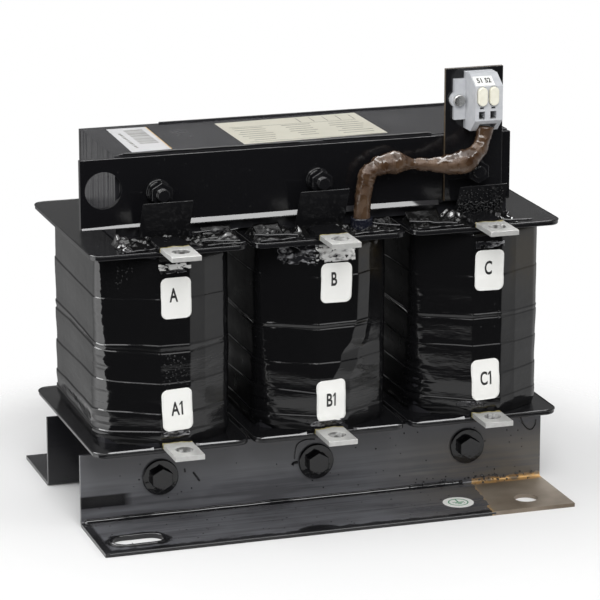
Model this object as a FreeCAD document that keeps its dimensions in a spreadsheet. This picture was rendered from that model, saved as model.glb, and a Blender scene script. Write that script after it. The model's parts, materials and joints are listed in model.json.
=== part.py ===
import FreeCAD, Part
import math
import os
import re
import Sketcher

# Three-phase detuned filter reactor: a gapped iron core with three wound coils, vacuum-varnished,
# standing on two steel angles. Millimetres, +Z up. X runs along the core with phase A at -X, the
# terminals face -Y, and the origin lies under the middle of the core, in the plane of the feet.

os.makedirs("parts", exist_ok=True)
doc = FreeCAD.newDocument("filter_reactor")

# Driving sizes

DRIVING = {
    # laminated core: three legs between two yokes, each leg in two blocks with air-gap spacers
    "leg_pitch": 80,
    "leg_width": 40,
    "stack_depth": 64,
    "yoke_height": 40,
    "leg_block": 48.5,
    "gap_spacer": 2,
    # moulded coil formers
    "flange_gap": 2.6,
    "flange_depth": 118,
    "flange_corner": 6,
    "flange_sheet": 2.5,
    "tube_wall": 1.5,
    "former_clearance": 0.4,
    "former_play": 1.5,
    # windings with their tape wrap: flat sides, and a front and rear drawn flat over the leads
    "coil_width": 66,
    "coil_inset": 1.5,
    "coil_slant": 32,
    "coil_corner": 8,
    "lead_span": 15,
    "lead_corner": 3,
    "wrap_sheet": 1.5,
    "wrap_fit": 0.1,
    "tape_ledge": 0.45,
    "wrap_roll": 1.1,
    "roll_height": 3,
    # copper terminal tabs
    "tab_width": 14.5,
    "tab_sheet": 2.5,
    "tab_hole": 8.4,
    "hole_inset": 10,
    "tab_bend": 2,
    "tail_width": 10,
    "tail_length": 12,
    "tail_clearance": 0.3,
    "upper_tab_setback": 3,
    "lower_tab_inset": 12,
    "tab_overhang_a": 24.2,
    "tab_overhang_b": 23.6,
    "tab_overhang_c": 24.2,
    "tab_overhang_a1": 22.5,
    "tab_overhang_b1": 22.7,
    "tab_overhang_c1": 18.5,
    "tab_shift_a": 0.5,
    "tab_shift_b": -0.7,
    "tab_shift_c": -0.8,
    "tab_shift_a1": 1.7,
    "tab_shift_b1": -1.8,
    "tab_shift_c1": 0.2,
    # bent insulation flaps between the upper tabs and the clamp nuts
    "flap_sheet": 0.6,
    "flap_width": 25,
    "flap_clearance": 2,
    "flap_inset": 1,
    "flap_slope": 0.49,
    "flap_height_a": 21.1,
    "flap_height_b": 21.1,
    "flap_height_c": 17.3,
    "flap_shift_a": 1.6,
    "flap_shift_b": -0.1,
    "flap_shift_c": 2.3,
    # bent steel feet
    "foot_length": 240,
    "foot_depth": 160,
    "foot_sheet": 2,
    "foot_web": 36.5,
    "foot_bend": 1.2,
    "hole_spacing": 200,
    "hole_rows": 130,
    "foot_hole": 12,
    "slot_length": 25,
    # flat bars across the upper yoke, with the insulation behind them
    "bar_end": 118,
    "bar_start": 100,
    "bar_height": 34.2,
    "bar_lift": 5.3,
    "bar_sheet": 3,
    "bar_edge": 1.4,
    "lift_hole": 18,
    "lift_inset": 11.3,
    "lift_raise": 2.1,
    "strip_sheet": 1,
    "strip_end": 98,
    "strip_rise": 1.4,
    "strip_step": 60,
    # clamp bolts and what goes on them
    "bolt_size": 6,
    "bolt_hole": 6.6,
    "thread_fit": 0.1,
    "upper_bolt": 85,
    "lower_bolt": 80,
    "head_height": 4,
    "head_flats": 10,
    "nut_height": 5,
    "washer_sheet": 1.6,
    "washer_size": 12,
    "wide_washer": 18,
    "spring_washer": 11,
    "spring_slit": 1.2,
    "bolt_sleeve": 7.4,
    "sleeve_fit": 0.2,
    # bracket plate and terminal block of the thermal contact
    "plate_left": 65,
    "plate_width": 30,
    "plate_sheet": 2,
    "plate_bottom": 150,
    "plate_height": 66,
    "block_left": 74.4,
    "block_width": 14.2,
    "block_bottom": 186.5,
    "block_depth": 16,
    "block_height": 28,
    "chin_depth": 9.5,
    "chin_height": 6,
    "brow_depth": 8,
    "brow_height": 22.8,
    "ear_width": 5.7,
    "ear_sheet": 2.5,
    "ear_bottom": 4.5,
    "ear_height": 20,
    "ear_round": 8.2,
    "screw_inset": 3.5,
    "screw_height": 14.3,
    "screw_size": 3,
    "screw_hole": 3.4,
    "screw_head": 5.6,
    "screw_head_height": 2.2,
    "screw_stub": 1,
    "screw_nut": 5.5,
    "screw_nut_height": 2.4,
    "pole_first": 3.5,
    "pole_pitch": 5.9,
    "button_width": 4.8,
    "button_height": 9.2,
    "button_length": 9.7,
    "button_rise": 1.7,
    "button_level": 18.1,
    "button_clearance": 0.2,
    "chamber_depth": 14,
    "spring_width": 3.6,
    "spring_strip": 0.4,
    "spring_depth": 4,
    "spring_height": 7,
    "entry_width": 3.1,
    "entry_height": 3.9,
    "entry_level": 6.7,
    "entry_depth": 10,
    "contact_width": 2.6,
    "contact_sheet": 0.8,
    "contact_length": 9,
    "probe_width": 2.2,
    "probe_height": 1,
    "probe_level": 11.8,
    "probe_depth": 3,
    "lead_left": 3.2,
    "lead_width": 8.8,
    "lead_rear": 5.6,
    "lead_height": 4,
    # thermal switch in the middle coil, its sleeve and the band round the sleeve's foot
    "sensor_across": 20,
    "sensor_inset": 15,
    "switch_size": 5,
    "switch_length": 18,
    "switch_clearance": 0.3,
    "sleeve_size": 8,
    "tie_size": 11,
    "tie_height": 5.5,
}
TAPE_BANDS = 5
PHASES = {"a": -1, "b": 0, "c": 1}

sheet = doc.addObject("Spreadsheet::Sheet", "Sizes")
for row, (alias, number) in enumerate(DRIVING.items(), start=1):
    sheet.set(f"A{row}", alias)
    sheet.set(f"B{row}", str(number))
    sheet.setAlias(f"B{row}", alias)
doc.recompute()


def bind(formula):
    """Write a formula of size names as an expression on the sheet's cells."""
    word = r"[a-z_][a-z0-9_]*"
    return re.sub(word, lambda found: f"Sizes.{found[0]}" if found[0] in DRIVING else found[0], formula)


def value(formula):
    return float(sheet.evalExpression(bind(formula)))


# Levels and places worked out from the driving sizes, kept as formulas

CORE_TOP = "(foot_sheet + yoke_height)"
MID_GAP = f"({CORE_TOP} + leg_block)"
UPPER_BLOCK = f"({MID_GAP} + gap_spacer)"
TOP_GAP = f"({UPPER_BLOCK} + leg_block)"
YOKE_BOTTOM = f"({TOP_GAP} + gap_spacer)"
FORMER_TOP = f"({YOKE_BOTTOM} - former_play)"
COIL_BOTTOM = f"({CORE_TOP} + flange_sheet)"
COIL_TOP = f"({FORMER_TOP} - flange_sheet)"
UPPER_TAIL_END = f"({FORMER_TOP} + flap_sheet - tail_length)"
LOWER_TAIL_END = f"({COIL_BOTTOM} + tab_sheet + tail_length)"
CORE_LENGTH = "(2 * leg_pitch + leg_width)"
CORE_FACE = "(stack_depth / 2)"
FLANGE_WIDTH = "(leg_pitch - flange_gap)"
COIL_FRONT = "(flange_depth / 2 - coil_inset)"
TUBE_WIDTH = "(leg_width + 2 * former_clearance)"
TUBE_DEPTH = "(stack_depth + 2 * former_clearance)"
BAR_BOTTOM = f"({YOKE_BOTTOM} + bar_lift)"
BAR_BACK = f"({CORE_FACE} + strip_sheet)"
BAR_FACE = f"({BAR_BACK} + bar_sheet)"
WEB_FACE = f"({CORE_FACE} + foot_sheet)"
LOWER_BOLT_LEVEL = "(foot_sheet + yoke_height / 2)"
UPPER_BOLT_LEVEL = f"({BAR_BOTTOM} + bar_height / 2)"
PLATE_FACE = f"({BAR_FACE} + plate_sheet)"
FLAP_REAR = f"({BAR_FACE} + flap_clearance)"
FLAP_FRONT = "(flange_depth / 2 - flap_inset)"
UPPER_TAB_REAR = f"({FLAP_REAR} + upper_tab_setback)"
LOWER_TAB_REAR = "(flange_depth / 2 - lower_tab_inset)"
SENSOR_FORWARD = "(flange_depth / 2 - sensor_inset)"
BLOCK_CENTRE = "(block_left + block_width / 2)"
POLES = {"1": "(pole_first - block_width / 2)", "2": "(pole_first + pole_pitch - block_width / 2)"}

# Helpers for sketches and features

TOP, FRONT, SIDE = "XY_Plane", "XZ_Plane", "YZ_Plane"
bodies = []


def new_body(label, across="0", forward="0", up="0", turned=0, pieces=1):
    """Start a body whose own frame lies at a place given by three formulas."""
    body = doc.addObject("PartDesign::Body", label)
    body.Label = label
    body.AllowCompound = pieces > 1
    body.Placement.Rotation = FreeCAD.Rotation(FreeCAD.Vector(0, 0, 1), turned)
    body.setExpression(".Placement.Base.x", bind(across))
    body.setExpression(".Placement.Base.y", bind(forward))
    body.setExpression(".Placement.Base.z", bind(up))
    bodies.append(body)
    return body


def sketch_on(body, name, plane, level="0"):
    """Start a sketch parallel to one of the body's planes, at a level along its world axis."""
    sketch = body.newObject("Sketcher::SketchObject", name)
    support = next(feature for feature in body.Origin.OriginFeatures if feature.Role == plane)
    sketch.AttachmentSupport = (support, [""])
    sketch.MapMode = "FlatFace"
    sign = "-" if plane == FRONT else ""
    sketch.setExpression("AttachmentOffset.Base.z", bind(f"{sign}({level})"))
    return sketch


def hold(sketch, kind, places, formula):
    index = sketch.addConstraint(Sketcher.Constraint(kind, *places, value(formula)))
    sketch.setExpression(f"Constraints[{index}]", bind(formula))


def hold_point(sketch, geometry, point, across, up):
    hold(sketch, "DistanceX", (-1, 1, geometry, point), across)
    hold(sketch, "DistanceY", (-1, 1, geometry, point), up)


def polygon(sketch, corners):
    """Draw a closed outline of straight lines, each corner held by two formulas."""
    points = [FreeCAD.Vector(value(across), value(up), 0) for across, up in corners]
    lines = [
        sketch.addGeometry(Part.LineSegment(point, points[(index + 1) % len(points)]))
        for index, point in enumerate(points)
    ]
    for index, line in enumerate(lines):
        sketch.addConstraint(Sketcher.Constraint("Coincident", lines[index - 1], 2, line, 1))
        hold_point(sketch, line, 1, *corners[index])


def rectangle(sketch, left, bottom, right, top):
    polygon(sketch, [(left, bottom), (right, bottom), (right, top), (left, top)])


def circle(sketch, across, up, size):
    centre = FreeCAD.Vector(value(across), value(up), 0)
    geometry = sketch.addGeometry(Part.Circle(centre, FreeCAD.Vector(0, 0, 1), value(size) / 2))
    hold_point(sketch, geometry, 3, across, up)
    hold(sketch, "Diameter", (geometry,), size)


def oval(sketch, across, up, length, width, upright=False):
    """Draw a slot with round ends, its long axis along the sketch's X, or along its Y if upright."""
    reach = f"({length} - {width}) / 2"
    turn = math.pi / 2 if upright else 0
    ends = []
    for sign in (1, -1):
        place = (across, f"{up} + {sign} * {reach}") if upright else (f"{across} + {sign} * {reach}", up)
        start = turn - sign * math.pi / 2
        centre = FreeCAD.Vector(value(place[0]), value(place[1]), 0)
        round_end = Part.Circle(centre, FreeCAD.Vector(0, 0, 1), value(width) / 2)
        geometry = sketch.addGeometry(Part.ArcOfCircle(round_end, start, start + math.pi))
        hold_point(sketch, geometry, 3, *place)
        hold(sketch, "Radius", (geometry,), f"{width} / 2")
        ends.append(geometry)
    for first, second in ((ends[0], ends[1]), (ends[1], ends[0])):
        begin = sketch.getPoint(first, 2)
        finish = sketch.getPoint(second, 1)
        line = sketch.addGeometry(Part.LineSegment(begin, finish))
        sketch.addConstraint(Sketcher.Constraint("Tangent", first, 2, line, 1))
        sketch.addConstraint(Sketcher.Constraint("Tangent", line, 2, second, 1))


def hexagon(sketch, across, up, flats):
    """Draw a hexagon with two flats upright, held on its corners."""
    side = f"({flats} / sqrt(3))"
    half = f"({flats} / 2)"
    corners = []
    for along, rise in ((0, 1), (1, 0.5), (1, -0.5), (0, -1), (-1, -0.5), (-1, 0.5)):
        corners.append((f"{across} + {along} * {half}", f"{up} + {rise} * {side}"))
    polygon(sketch, corners)


def pad(body, name, sketch, length, backwards=False, both_sides=False):
    feature = body.newObject("PartDesign::Pad", name)
    feature.Profile = sketch
    feature.setExpression("Length", bind(length))
    feature.Reversed = backwards
    if both_sides:
        feature.SideType = "Symmetric"
    return feature


def pocket(body, name, sketch, depth=None, backwards=False):
    """Cut a sketch into the body, through everything on its far side if no depth is given."""
    feature = body.newObject("PartDesign::Pocket", name)
    feature.Profile = sketch
    feature.Reversed = backwards
    if depth is None:
        feature.Type = "ThroughAll"
    else:
        feature.setExpression("Length", bind(depth))
    return feature


def fillet(body, name, feature, radius, chosen):
    """Round the edges of a feature whose middle point passes a test."""
    doc.recompute()
    edges = []
    for number, edge in enumerate(feature.Shape.Edges, start=1):
        middle = edge.valueAt((edge.FirstParameter + edge.LastParameter) / 2)
        if chosen(middle):
            edges.append(f"Edge{number}")
    rounded = body.newObject("PartDesign::Fillet", name)
    rounded.Base = (feature, edges)
    rounded.setExpression("Radius", bind(radius))
    return rounded


def near(first, formula):
    return abs(first - value(formula)) < 0.01


def solid_piece(label, shape, across="0"):
    """Keep a shape that no sketch feature fits as a sub-part of its own."""
    feature = doc.addObject("Part::Feature", label)
    feature.Label = label
    feature.Shape = shape
    feature.setExpression(".Placement.Base.x", bind(across))
    bodies.append(feature)
    return feature


def block(left, front, bottom, right, rear, top):
    """A plain cutting block between two corners."""
    size = FreeCAD.Vector(right - left, rear - front, top - bottom)
    return Part.makeBox(*size, FreeCAD.Vector(left, front, bottom))


# Core: yokes, legs and the air-gap spacers


def make_yoke(label, bottom, bolt_level):
    body = new_body(label)
    profile = sketch_on(body, f"{label}_profile", FRONT)
    half = f"{CORE_LENGTH} / 2"
    rectangle(profile, f"-{half}", bottom, half, f"{bottom} + yoke_height")
    for side in PHASES.values():
        circle(profile, f"{side} * leg_pitch", bolt_level, "bolt_sleeve + 2 * sleeve_fit")
    pad(body, f"{label}_stack", profile, "stack_depth", both_sides=True)


def make_core_block(label, side, bottom, height):
    body = new_body(label, f"{side} * leg_pitch")
    profile = sketch_on(body, f"{label}_profile", FRONT)
    rectangle(profile, "-leg_width / 2", bottom, "leg_width / 2", f"{bottom} + {height}")
    pad(body, f"{label}_stack", profile, "stack_depth", both_sides=True)


make_yoke("lower_yoke", "foot_sheet", LOWER_BOLT_LEVEL)
make_yoke("upper_yoke", YOKE_BOTTOM, UPPER_BOLT_LEVEL)
for phase, side in PHASES.items():
    make_core_block(f"leg_lower_{phase}", side, CORE_TOP, "leg_block")
    make_core_block(f"gap_spacer_mid_{phase}", side, MID_GAP, "gap_spacer")
    make_core_block(f"leg_upper_{phase}", side, UPPER_BLOCK, "leg_block")
    make_core_block(f"gap_spacer_top_{phase}", side, TOP_GAP, "gap_spacer")

# Coil formers: a tube with two flanges, moulded in one piece


def make_former(phase, side):
    body = new_body(f"coil_former_{phase}", f"{side} * leg_pitch")
    for name, bottom in (("lower_flange", CORE_TOP), ("upper_flange", COIL_TOP)):
        outline = sketch_on(body, f"{name}_outline", TOP, bottom)
        half_width, half_depth = f"{FLANGE_WIDTH} / 2", "flange_depth / 2"
        rectangle(outline, f"-{half_width}", f"-{half_depth}", half_width, half_depth)
        flange = pad(body, name, outline, "flange_sheet")
        if name == "lower_flange":
            walls = sketch_on(body, "tube_outline", TOP, bottom)
            width, depth = f"({TUBE_WIDTH} / 2 + tube_wall)", f"({TUBE_DEPTH} / 2 + tube_wall)"
            rectangle(walls, f"-{width}", f"-{depth}", width, depth)
            pad(body, "tube", walls, f"{FORMER_TOP} - {CORE_TOP}")
    bore = sketch_on(body, "bore_outline", TOP, FORMER_TOP)
    width, depth = f"({TUBE_WIDTH} / 2)", f"({TUBE_DEPTH} / 2)"
    rectangle(bore, f"-{width}", f"-{depth}", width, depth)
    pocket(body, "bore", bore)
    slot = sketch_on(body, "tail_slot_outline", TOP, FORMER_TOP)
    tail_hole(slot, f"tab_shift_{phase}", UPPER_TAB_REAR)
    pocket(body, "tail_slot", slot, "2 * flange_sheet")
    if phase == "b":
        hole = sketch_on(body, "sleeve_hole_outline", TOP, FORMER_TOP)
        circle(hole, "sensor_across", f"-{SENSOR_FORWARD}", "sleeve_size + 2 * switch_clearance")
        pocket(body, "sleeve_hole", hole, "2 * flange_sheet")
    fillet(
        body,
        "flange_corners",
        body.Tip,
        "flange_corner",
        lambda middle: near(abs(middle.x), half_width) and near(abs(middle.y), half_depth),
    )


def tail_hole(sketch, shift, rear):
    """The outline of the hole that a tab's tail goes through, with its clearance."""
    half = "(tail_width / 2 + tail_clearance)"
    front = f"-{rear} - tab_sheet - tail_clearance"
    rectangle(sketch, f"{shift} - {half}", front, f"{shift} + {half}", f"-{rear} + tail_clearance")


for phase, side in PHASES.items():
    make_former(phase, side)

# Coils: the winding and its lapped tape wrap share one plan outline, set in or out by an offset


def coil_outline(offset, level):
    """The coil's plan: flat sides, and a front and rear of three flats with the leads in the middle."""
    slant = math.radians(value("coil_slant"))
    half = value("coil_width") / 2 + offset
    front = value(COIL_FRONT) + offset
    lead_reach = value("lead_span") / 2 * math.sin(slant) + value(COIL_FRONT) * math.cos(slant)
    reach = lead_reach + offset
    shoulder = (half, (reach - half * math.sin(slant)) / math.cos(slant))
    ridge = ((reach - front * math.cos(slant)) / math.sin(slant), front)
    side_radius = value("coil_corner") + offset
    lead_radius = value("lead_corner") + offset

    def corner_arc(corner, first, last, radius, flip_x, flip_y):
        """Three points of the arc that turns the outline's normal from one angle to another."""
        middle = (first + last) / 2
        inward = radius / math.cos((first - last) / 2)
        centre_x = corner[0] - inward * math.sin(middle)
        centre_y = corner[1] - inward * math.cos(middle)
        points = []
        for angle in (first, middle, last):
            along = centre_x + radius * math.sin(angle)
            forward = centre_y + radius * math.cos(angle)
            points.append(FreeCAD.Vector(flip_x * along, flip_y * forward, level))
        return points

    edges = []
    side_ends = {1: [], -1: []}
    for flip_y in (1, -1):
        front_ends = []
        for flip_x in (1, -1):
            side_arc = corner_arc(shoulder, math.pi / 2, slant, side_radius, flip_x, flip_y)
            lead_arc = corner_arc(ridge, slant, 0, lead_radius, flip_x, flip_y)
            edges += [Part.Arc(*side_arc).toShape(), Part.Arc(*lead_arc).toShape()]
            edges.append(Part.LineSegment(side_arc[2], lead_arc[0]).toShape())
            side_ends[flip_x].append(side_arc[0])
            front_ends.append(lead_arc[2])
        edges.append(Part.LineSegment(*front_ends).toShape())
    for ends in side_ends.values():
        edges.append(Part.LineSegment(*ends).toShape())
    return Part.Wire(Part.__sortEdges__(edges))


def coil_layer(lower_offset, bottom, upper_offset, top):
    """A closed band of the coil between two levels, its offset changing evenly."""
    outlines = [coil_outline(lower_offset, bottom), coil_outline(upper_offset, top)]
    return Part.makeLoft(outlines, True, True)


def coil_band(offset, bottom, top):
    """A closed band of the coil with upright walls between two levels."""
    return Part.Face(coil_outline(offset, bottom)).extrude(FreeCAD.Vector(0, 0, top - bottom))


def make_wrap(phase, side):
    """Tape wound in bands, every second band standing in a little, with both ends rolled over."""
    bottom, top = value(COIL_BOTTOM), value(COIL_TOP)
    roll, roll_height = value("wrap_roll"), value("roll_height")
    ledge = value("tape_ledge")
    pitch = (top - bottom - 2 * roll_height) / TAPE_BANDS
    layers = [
        coil_layer(-roll, bottom, 0, bottom + roll_height),
        coil_layer(0, top - roll_height, -roll, top),
    ]
    for band in range(TAPE_BANDS):
        offset = -ledge * (band % 2)
        level = bottom + roll_height + band * pitch
        layers.append(coil_band(offset, level, level + pitch))
    wrap = layers[0].multiFuse(layers[1:])
    wrap = wrap.cut(coil_band(-value("wrap_sheet"), bottom, top))
    wrap = wrap.cut(lower_tab_recess(phase))
    solid_piece(f"coil_wrap_{phase}", wrap, f"{side} * leg_pitch")


def lower_tab_recess(phase):
    """The room that a lower tab takes under the coil, up to its rear edge."""
    clearance = value("tail_clearance")
    middle = value(f"tab_shift_{phase}1")
    half = value("tab_width") / 2 + clearance
    bottom = value(COIL_BOTTOM)
    front = -value(COIL_FRONT) - clearance
    rear = clearance - value(LOWER_TAB_REAR)
    return block(middle - half, front, bottom, middle + half, rear, bottom + value("tab_sheet") + clearance)


def tail_recess(shift, rear, bottom, top):
    """The room that a tab's tail takes inside the winding."""
    clearance = value("tail_clearance")
    half = value("tail_width") / 2 + clearance
    front = -rear - value("tab_sheet") - clearance
    return block(shift - half, front, bottom, shift + half, clearance - rear, top)


def make_winding(phase, side):
    bottom, top = value(COIL_BOTTOM), value(COIL_TOP)
    outside = -value("wrap_sheet") - value("wrap_fit")
    winding = coil_band(outside, bottom, top)
    half_width = value(f"{TUBE_WIDTH} / 2 + tube_wall")
    half_depth = value(f"{TUBE_DEPTH} / 2 + tube_wall")
    winding = winding.cut(block(-half_width, -half_depth, bottom, half_width, half_depth, top))
    upper_end = value(f"{UPPER_TAIL_END} - tail_clearance")
    upper_tail = tail_recess(value(f"tab_shift_{phase}"), value(UPPER_TAB_REAR), upper_end, top)
    lower_end = value(f"{LOWER_TAIL_END} + tail_clearance")
    lower_tail = tail_recess(value(f"tab_shift_{phase}1"), value(LOWER_TAB_REAR), bottom, lower_end)
    for recess in (upper_tail, lower_tail, lower_tab_recess(phase)):
        winding = winding.cut(recess)
    if phase == "b":
        foot = FreeCAD.Vector(value("sensor_across"), -value(SENSOR_FORWARD), top - value("switch_length"))
        radius = value("switch_size / 2 + switch_clearance")
        winding = winding.cut(Part.makeCylinder(radius, value("switch_length"), foot))
    solid_piece(f"winding_{phase}", winding, f"{side} * leg_pitch")


for phase, side in PHASES.items():
    make_winding(phase, side)
    make_wrap(phase, side)

# Terminal tabs: flat copper with a tail that bends into the winding


def make_terminal(name, side, face, rear, inwards):
    """A tab whose inner face lies at one level, with its tail down (-1) or up (1) into the coil."""
    body = new_body(f"terminal_{name}", f"{side} * leg_pitch + tab_shift_{name}")
    outline = sketch_on(body, "tab_outline", TOP, face)
    front = f"-(flange_depth / 2 + tab_overhang_{name})"
    rectangle(outline, "-tab_width / 2", front, "tab_width / 2", f"-{rear}")
    circle(outline, "0", f"{front} + hole_inset", "tab_hole")
    pad(body, "tab", outline, "tab_sheet")
    near_face = face if inwards > 0 else f"{face} + tab_sheet"
    tail = sketch_on(body, "tail_outline", TOP, near_face)
    rectangle(tail, "-tail_width / 2", f"-{rear} - tab_sheet", "tail_width / 2", f"-{rear}")
    bent = pad(body, "tail", tail, "tail_length + tab_sheet", backwards=inwards < 0)
    outer_face = value(near_face)

    def is_bend(middle):
        return near(middle.y, f"-{rear}") and abs(middle.z - outer_face) < 0.01

    fillet(body, "bend", bent, "tab_bend", is_bend)


for phase, side in PHASES.items():
    make_terminal(phase, side, f"{FORMER_TOP} + flap_sheet", UPPER_TAB_REAR, -1)
    make_terminal(f"{phase}1", side, COIL_BOTTOM, LOWER_TAB_REAR, 1)

# Insulation flaps: the foot lies under the upper tab, the upright leans forward past the nut


def make_flap(phase, side):
    body = new_body(f"insulation_flap_{phase}", f"{side} * leg_pitch + flap_shift_{phase}")
    profile = sketch_on(body, "bent_profile", SIDE)
    top = f"{FORMER_TOP} + flap_height_{phase}"
    lean = f"flap_slope * flap_height_{phase}"
    foot_lean = "flap_slope * flap_sheet"
    polygon(
        profile,
        [
            (f"-{FLAP_REAR}", FORMER_TOP),
            (f"-{FLAP_FRONT}", FORMER_TOP),
            (f"-{FLAP_FRONT}", f"{FORMER_TOP} + flap_sheet"),
            (f"-{FLAP_REAR} - flap_sheet - {foot_lean}", f"{FORMER_TOP} + flap_sheet"),
            (f"-{FLAP_REAR} - flap_sheet - {lean}", top),
            (f"-{FLAP_REAR} - {lean}", top),
        ],
    )
    pad(body, "sheet", profile, "flap_width", both_sides=True)
    slot = sketch_on(body, "tail_slot_outline", TOP, f"{FORMER_TOP} + flap_sheet")
    tail_hole(slot, f"tab_shift_{phase} - flap_shift_{phase}", UPPER_TAB_REAR)
    pocket(body, "tail_slot", slot, "2 * flap_sheet")


for phase, side in PHASES.items():
    make_flap(phase, side)

# Feet: bent angles, the rear one the same part turned round


def make_foot(label, turned):
    body = new_body(label, turned=turned)
    profile = sketch_on(body, "angle_profile", SIDE)
    polygon(
        profile,
        [
            (f"-{CORE_FACE}", "0"),
            (f"-{CORE_FACE}", "foot_web"),
            (f"-{WEB_FACE}", "foot_web"),
            (f"-{WEB_FACE}", "foot_sheet"),
            ("-foot_depth / 2", "foot_sheet"),
            ("-foot_depth / 2", "0"),
        ],
    )
    angle = pad(body, "angle", profile, "foot_length", both_sides=True)
    outer_bend = fillet(
        body,
        "outer_bend",
        angle,
        "foot_bend + foot_sheet",
        lambda middle: near(middle.y, f"-{CORE_FACE}") and near(middle.z, "0"),
    )
    fillet(
        body,
        "inner_bend",
        outer_bend,
        "foot_bend",
        lambda middle: near(middle.y, f"-{WEB_FACE}") and near(middle.z, "foot_sheet"),
    )
    fixing = sketch_on(body, "fixing_holes", TOP, "foot_sheet")
    oval(fixing, "-hole_spacing / 2", "-hole_rows / 2", "slot_length", "foot_hole")
    circle(fixing, "hole_spacing / 2", "-hole_rows / 2", "foot_hole")
    pocket(body, "fixings", fixing)
    clamping = sketch_on(body, "clamp_holes", FRONT, f"-{WEB_FACE}")
    for side in PHASES.values():
        circle(clamping, f"{side} * leg_pitch", LOWER_BOLT_LEVEL, "bolt_hole")
    pocket(body, "clamp_bores", clamping)


make_foot("front_foot_angle", 0)
make_foot("rear_foot_angle", 180)

# Clamp bars on both faces of the upper yoke, and the insulation strips behind them


def make_bar(label, turned):
    body = new_body(label, turned=turned)
    outline = sketch_on(body, "bar_outline", FRONT, f"-{BAR_BACK}")
    rectangle(outline, "-bar_end", BAR_BOTTOM, "bar_start", f"{BAR_BOTTOM} + bar_height")
    for side in PHASES.values():
        circle(outline, f"{side} * leg_pitch", UPPER_BOLT_LEVEL, "bolt_hole")
    circle(outline, "lift_inset - bar_end", f"{UPPER_BOLT_LEVEL} + lift_raise", "lift_hole")
    bar = pad(body, "bar", outline, "bar_sheet")
    fillet(
        body,
        "rolled_edge",
        bar,
        "bar_edge",
        lambda middle: near(middle.y, f"-{BAR_FACE}") and near(middle.z, BAR_BOTTOM),
    )


def make_strip(label, turned):
    body = new_body(label, turned=turned)
    outline = sketch_on(body, "strip_outline", FRONT, f"-{CORE_FACE}")
    bar_top = f"{BAR_BOTTOM} + bar_height"
    polygon(
        outline,
        [
            ("-strip_end", BAR_BOTTOM),
            ("strip_end", BAR_BOTTOM),
            ("strip_end", bar_top),
            ("strip_step", bar_top),
            ("strip_step", f"{bar_top} + strip_rise"),
            ("-strip_end", f"{bar_top} + strip_rise"),
        ],
    )
    for side in PHASES.values():
        circle(outline, f"{side} * leg_pitch", UPPER_BOLT_LEVEL, "bolt_hole")
    pad(body, "strip", outline, "strip_sheet")


make_bar("front_clamp_bar", 0)
make_bar("rear_clamp_bar", 180)
make_strip("front_insulation_strip", 0)
make_strip("rear_insulation_strip", 180)

# Fasteners. Each place is (side, level, face, out): the leg, the height, how far the seat lies from
# the core's middle plane, and -1 for the front or 1 for the rear.

UPPER_FRONT = [(side, UPPER_BOLT_LEVEL, PLATE_FACE if side > 0 else BAR_FACE, -1) for side in PHASES.values()]
UPPER_REAR = [(side, UPPER_BOLT_LEVEL, BAR_FACE, 1) for side in PHASES.values()]
LOWER_FRONT = [(side, LOWER_BOLT_LEVEL, WEB_FACE, -1) for side in PHASES.values()]
LOWER_REAR = [(side, LOWER_BOLT_LEVEL, WEB_FACE, 1) for side in PHASES.values()]


def stand_off(places, thickness):
    """The same places with their seats moved out by a washer."""
    return [(side, level, f"({face} + {thickness})", out) for side, level, face, out in places]


def make_rings(label, places, outside, slit=None):
    """Washers, each seated on its face; a spring washer has a slit."""
    body = new_body(label, pieces=len(places))
    for number, (side, level, face, out) in enumerate(places, start=1):
        outline = sketch_on(body, f"outline_{number}", FRONT, f"{out} * {face}")
        circle(outline, f"{side} * leg_pitch", level, outside)
        circle(outline, f"{side} * leg_pitch", level, "bolt_hole")
        pad(body, f"washer_{number}", outline, "washer_sheet", backwards=out > 0)
        if slit:
            gap = sketch_on(body, f"slit_{number}", FRONT, f"{out} * {face}")
            middle = f"{side} * leg_pitch"
            rectangle(gap, f"{middle} - {slit} / 2", level, f"{middle} + {slit} / 2", f"{level} + {outside}")
            pocket(body, f"cut_{number}", gap, "washer_sheet", backwards=out < 0)


def make_nuts(label, places):
    body = new_body(label, pieces=len(places))
    for number, (side, level, face, out) in enumerate(places, start=1):
        outline = sketch_on(body, f"outline_{number}", FRONT, f"{out} * {face}")
        hexagon(outline, f"{side} * leg_pitch", level, "head_flats")
        circle(outline, f"{side} * leg_pitch", level, "bolt_size")
        pad(body, f"nut_{number}", outline, "nut_height", backwards=out > 0)


def make_bolts(label, places, length):
    """Hexagon bolts, with the head on its seat and the shank through the core."""
    body = new_body(label, pieces=len(places))
    for number, (side, level, face, out) in enumerate(places, start=1):
        head = sketch_on(body, f"head_{number}", FRONT, f"{out} * {face}")
        hexagon(head, f"{side} * leg_pitch", level, "head_flats")
        pad(body, f"hexagon_{number}", head, "head_height", backwards=out > 0)
        shank = sketch_on(body, f"shank_{number}", FRONT, f"{out} * {face}")
        circle(shank, f"{side} * leg_pitch", level, "bolt_size - thread_fit")
        pad(body, f"rod_{number}", shank, length, backwards=out < 0)


def make_bolt_sleeves():
    body = new_body("bolt_sleeves", pieces=6)
    for name, level in (("lower", LOWER_BOLT_LEVEL), ("upper", UPPER_BOLT_LEVEL)):
        for phase, side in PHASES.items():
            outline = sketch_on(body, f"{name}_{phase}_outline", FRONT)
            circle(outline, f"{side} * leg_pitch", level, "bolt_sleeve")
            circle(outline, f"{side} * leg_pitch", level, "bolt_size + sleeve_fit")
            pad(body, f"{name}_{phase}", outline, "stack_depth", both_sides=True)


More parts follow.
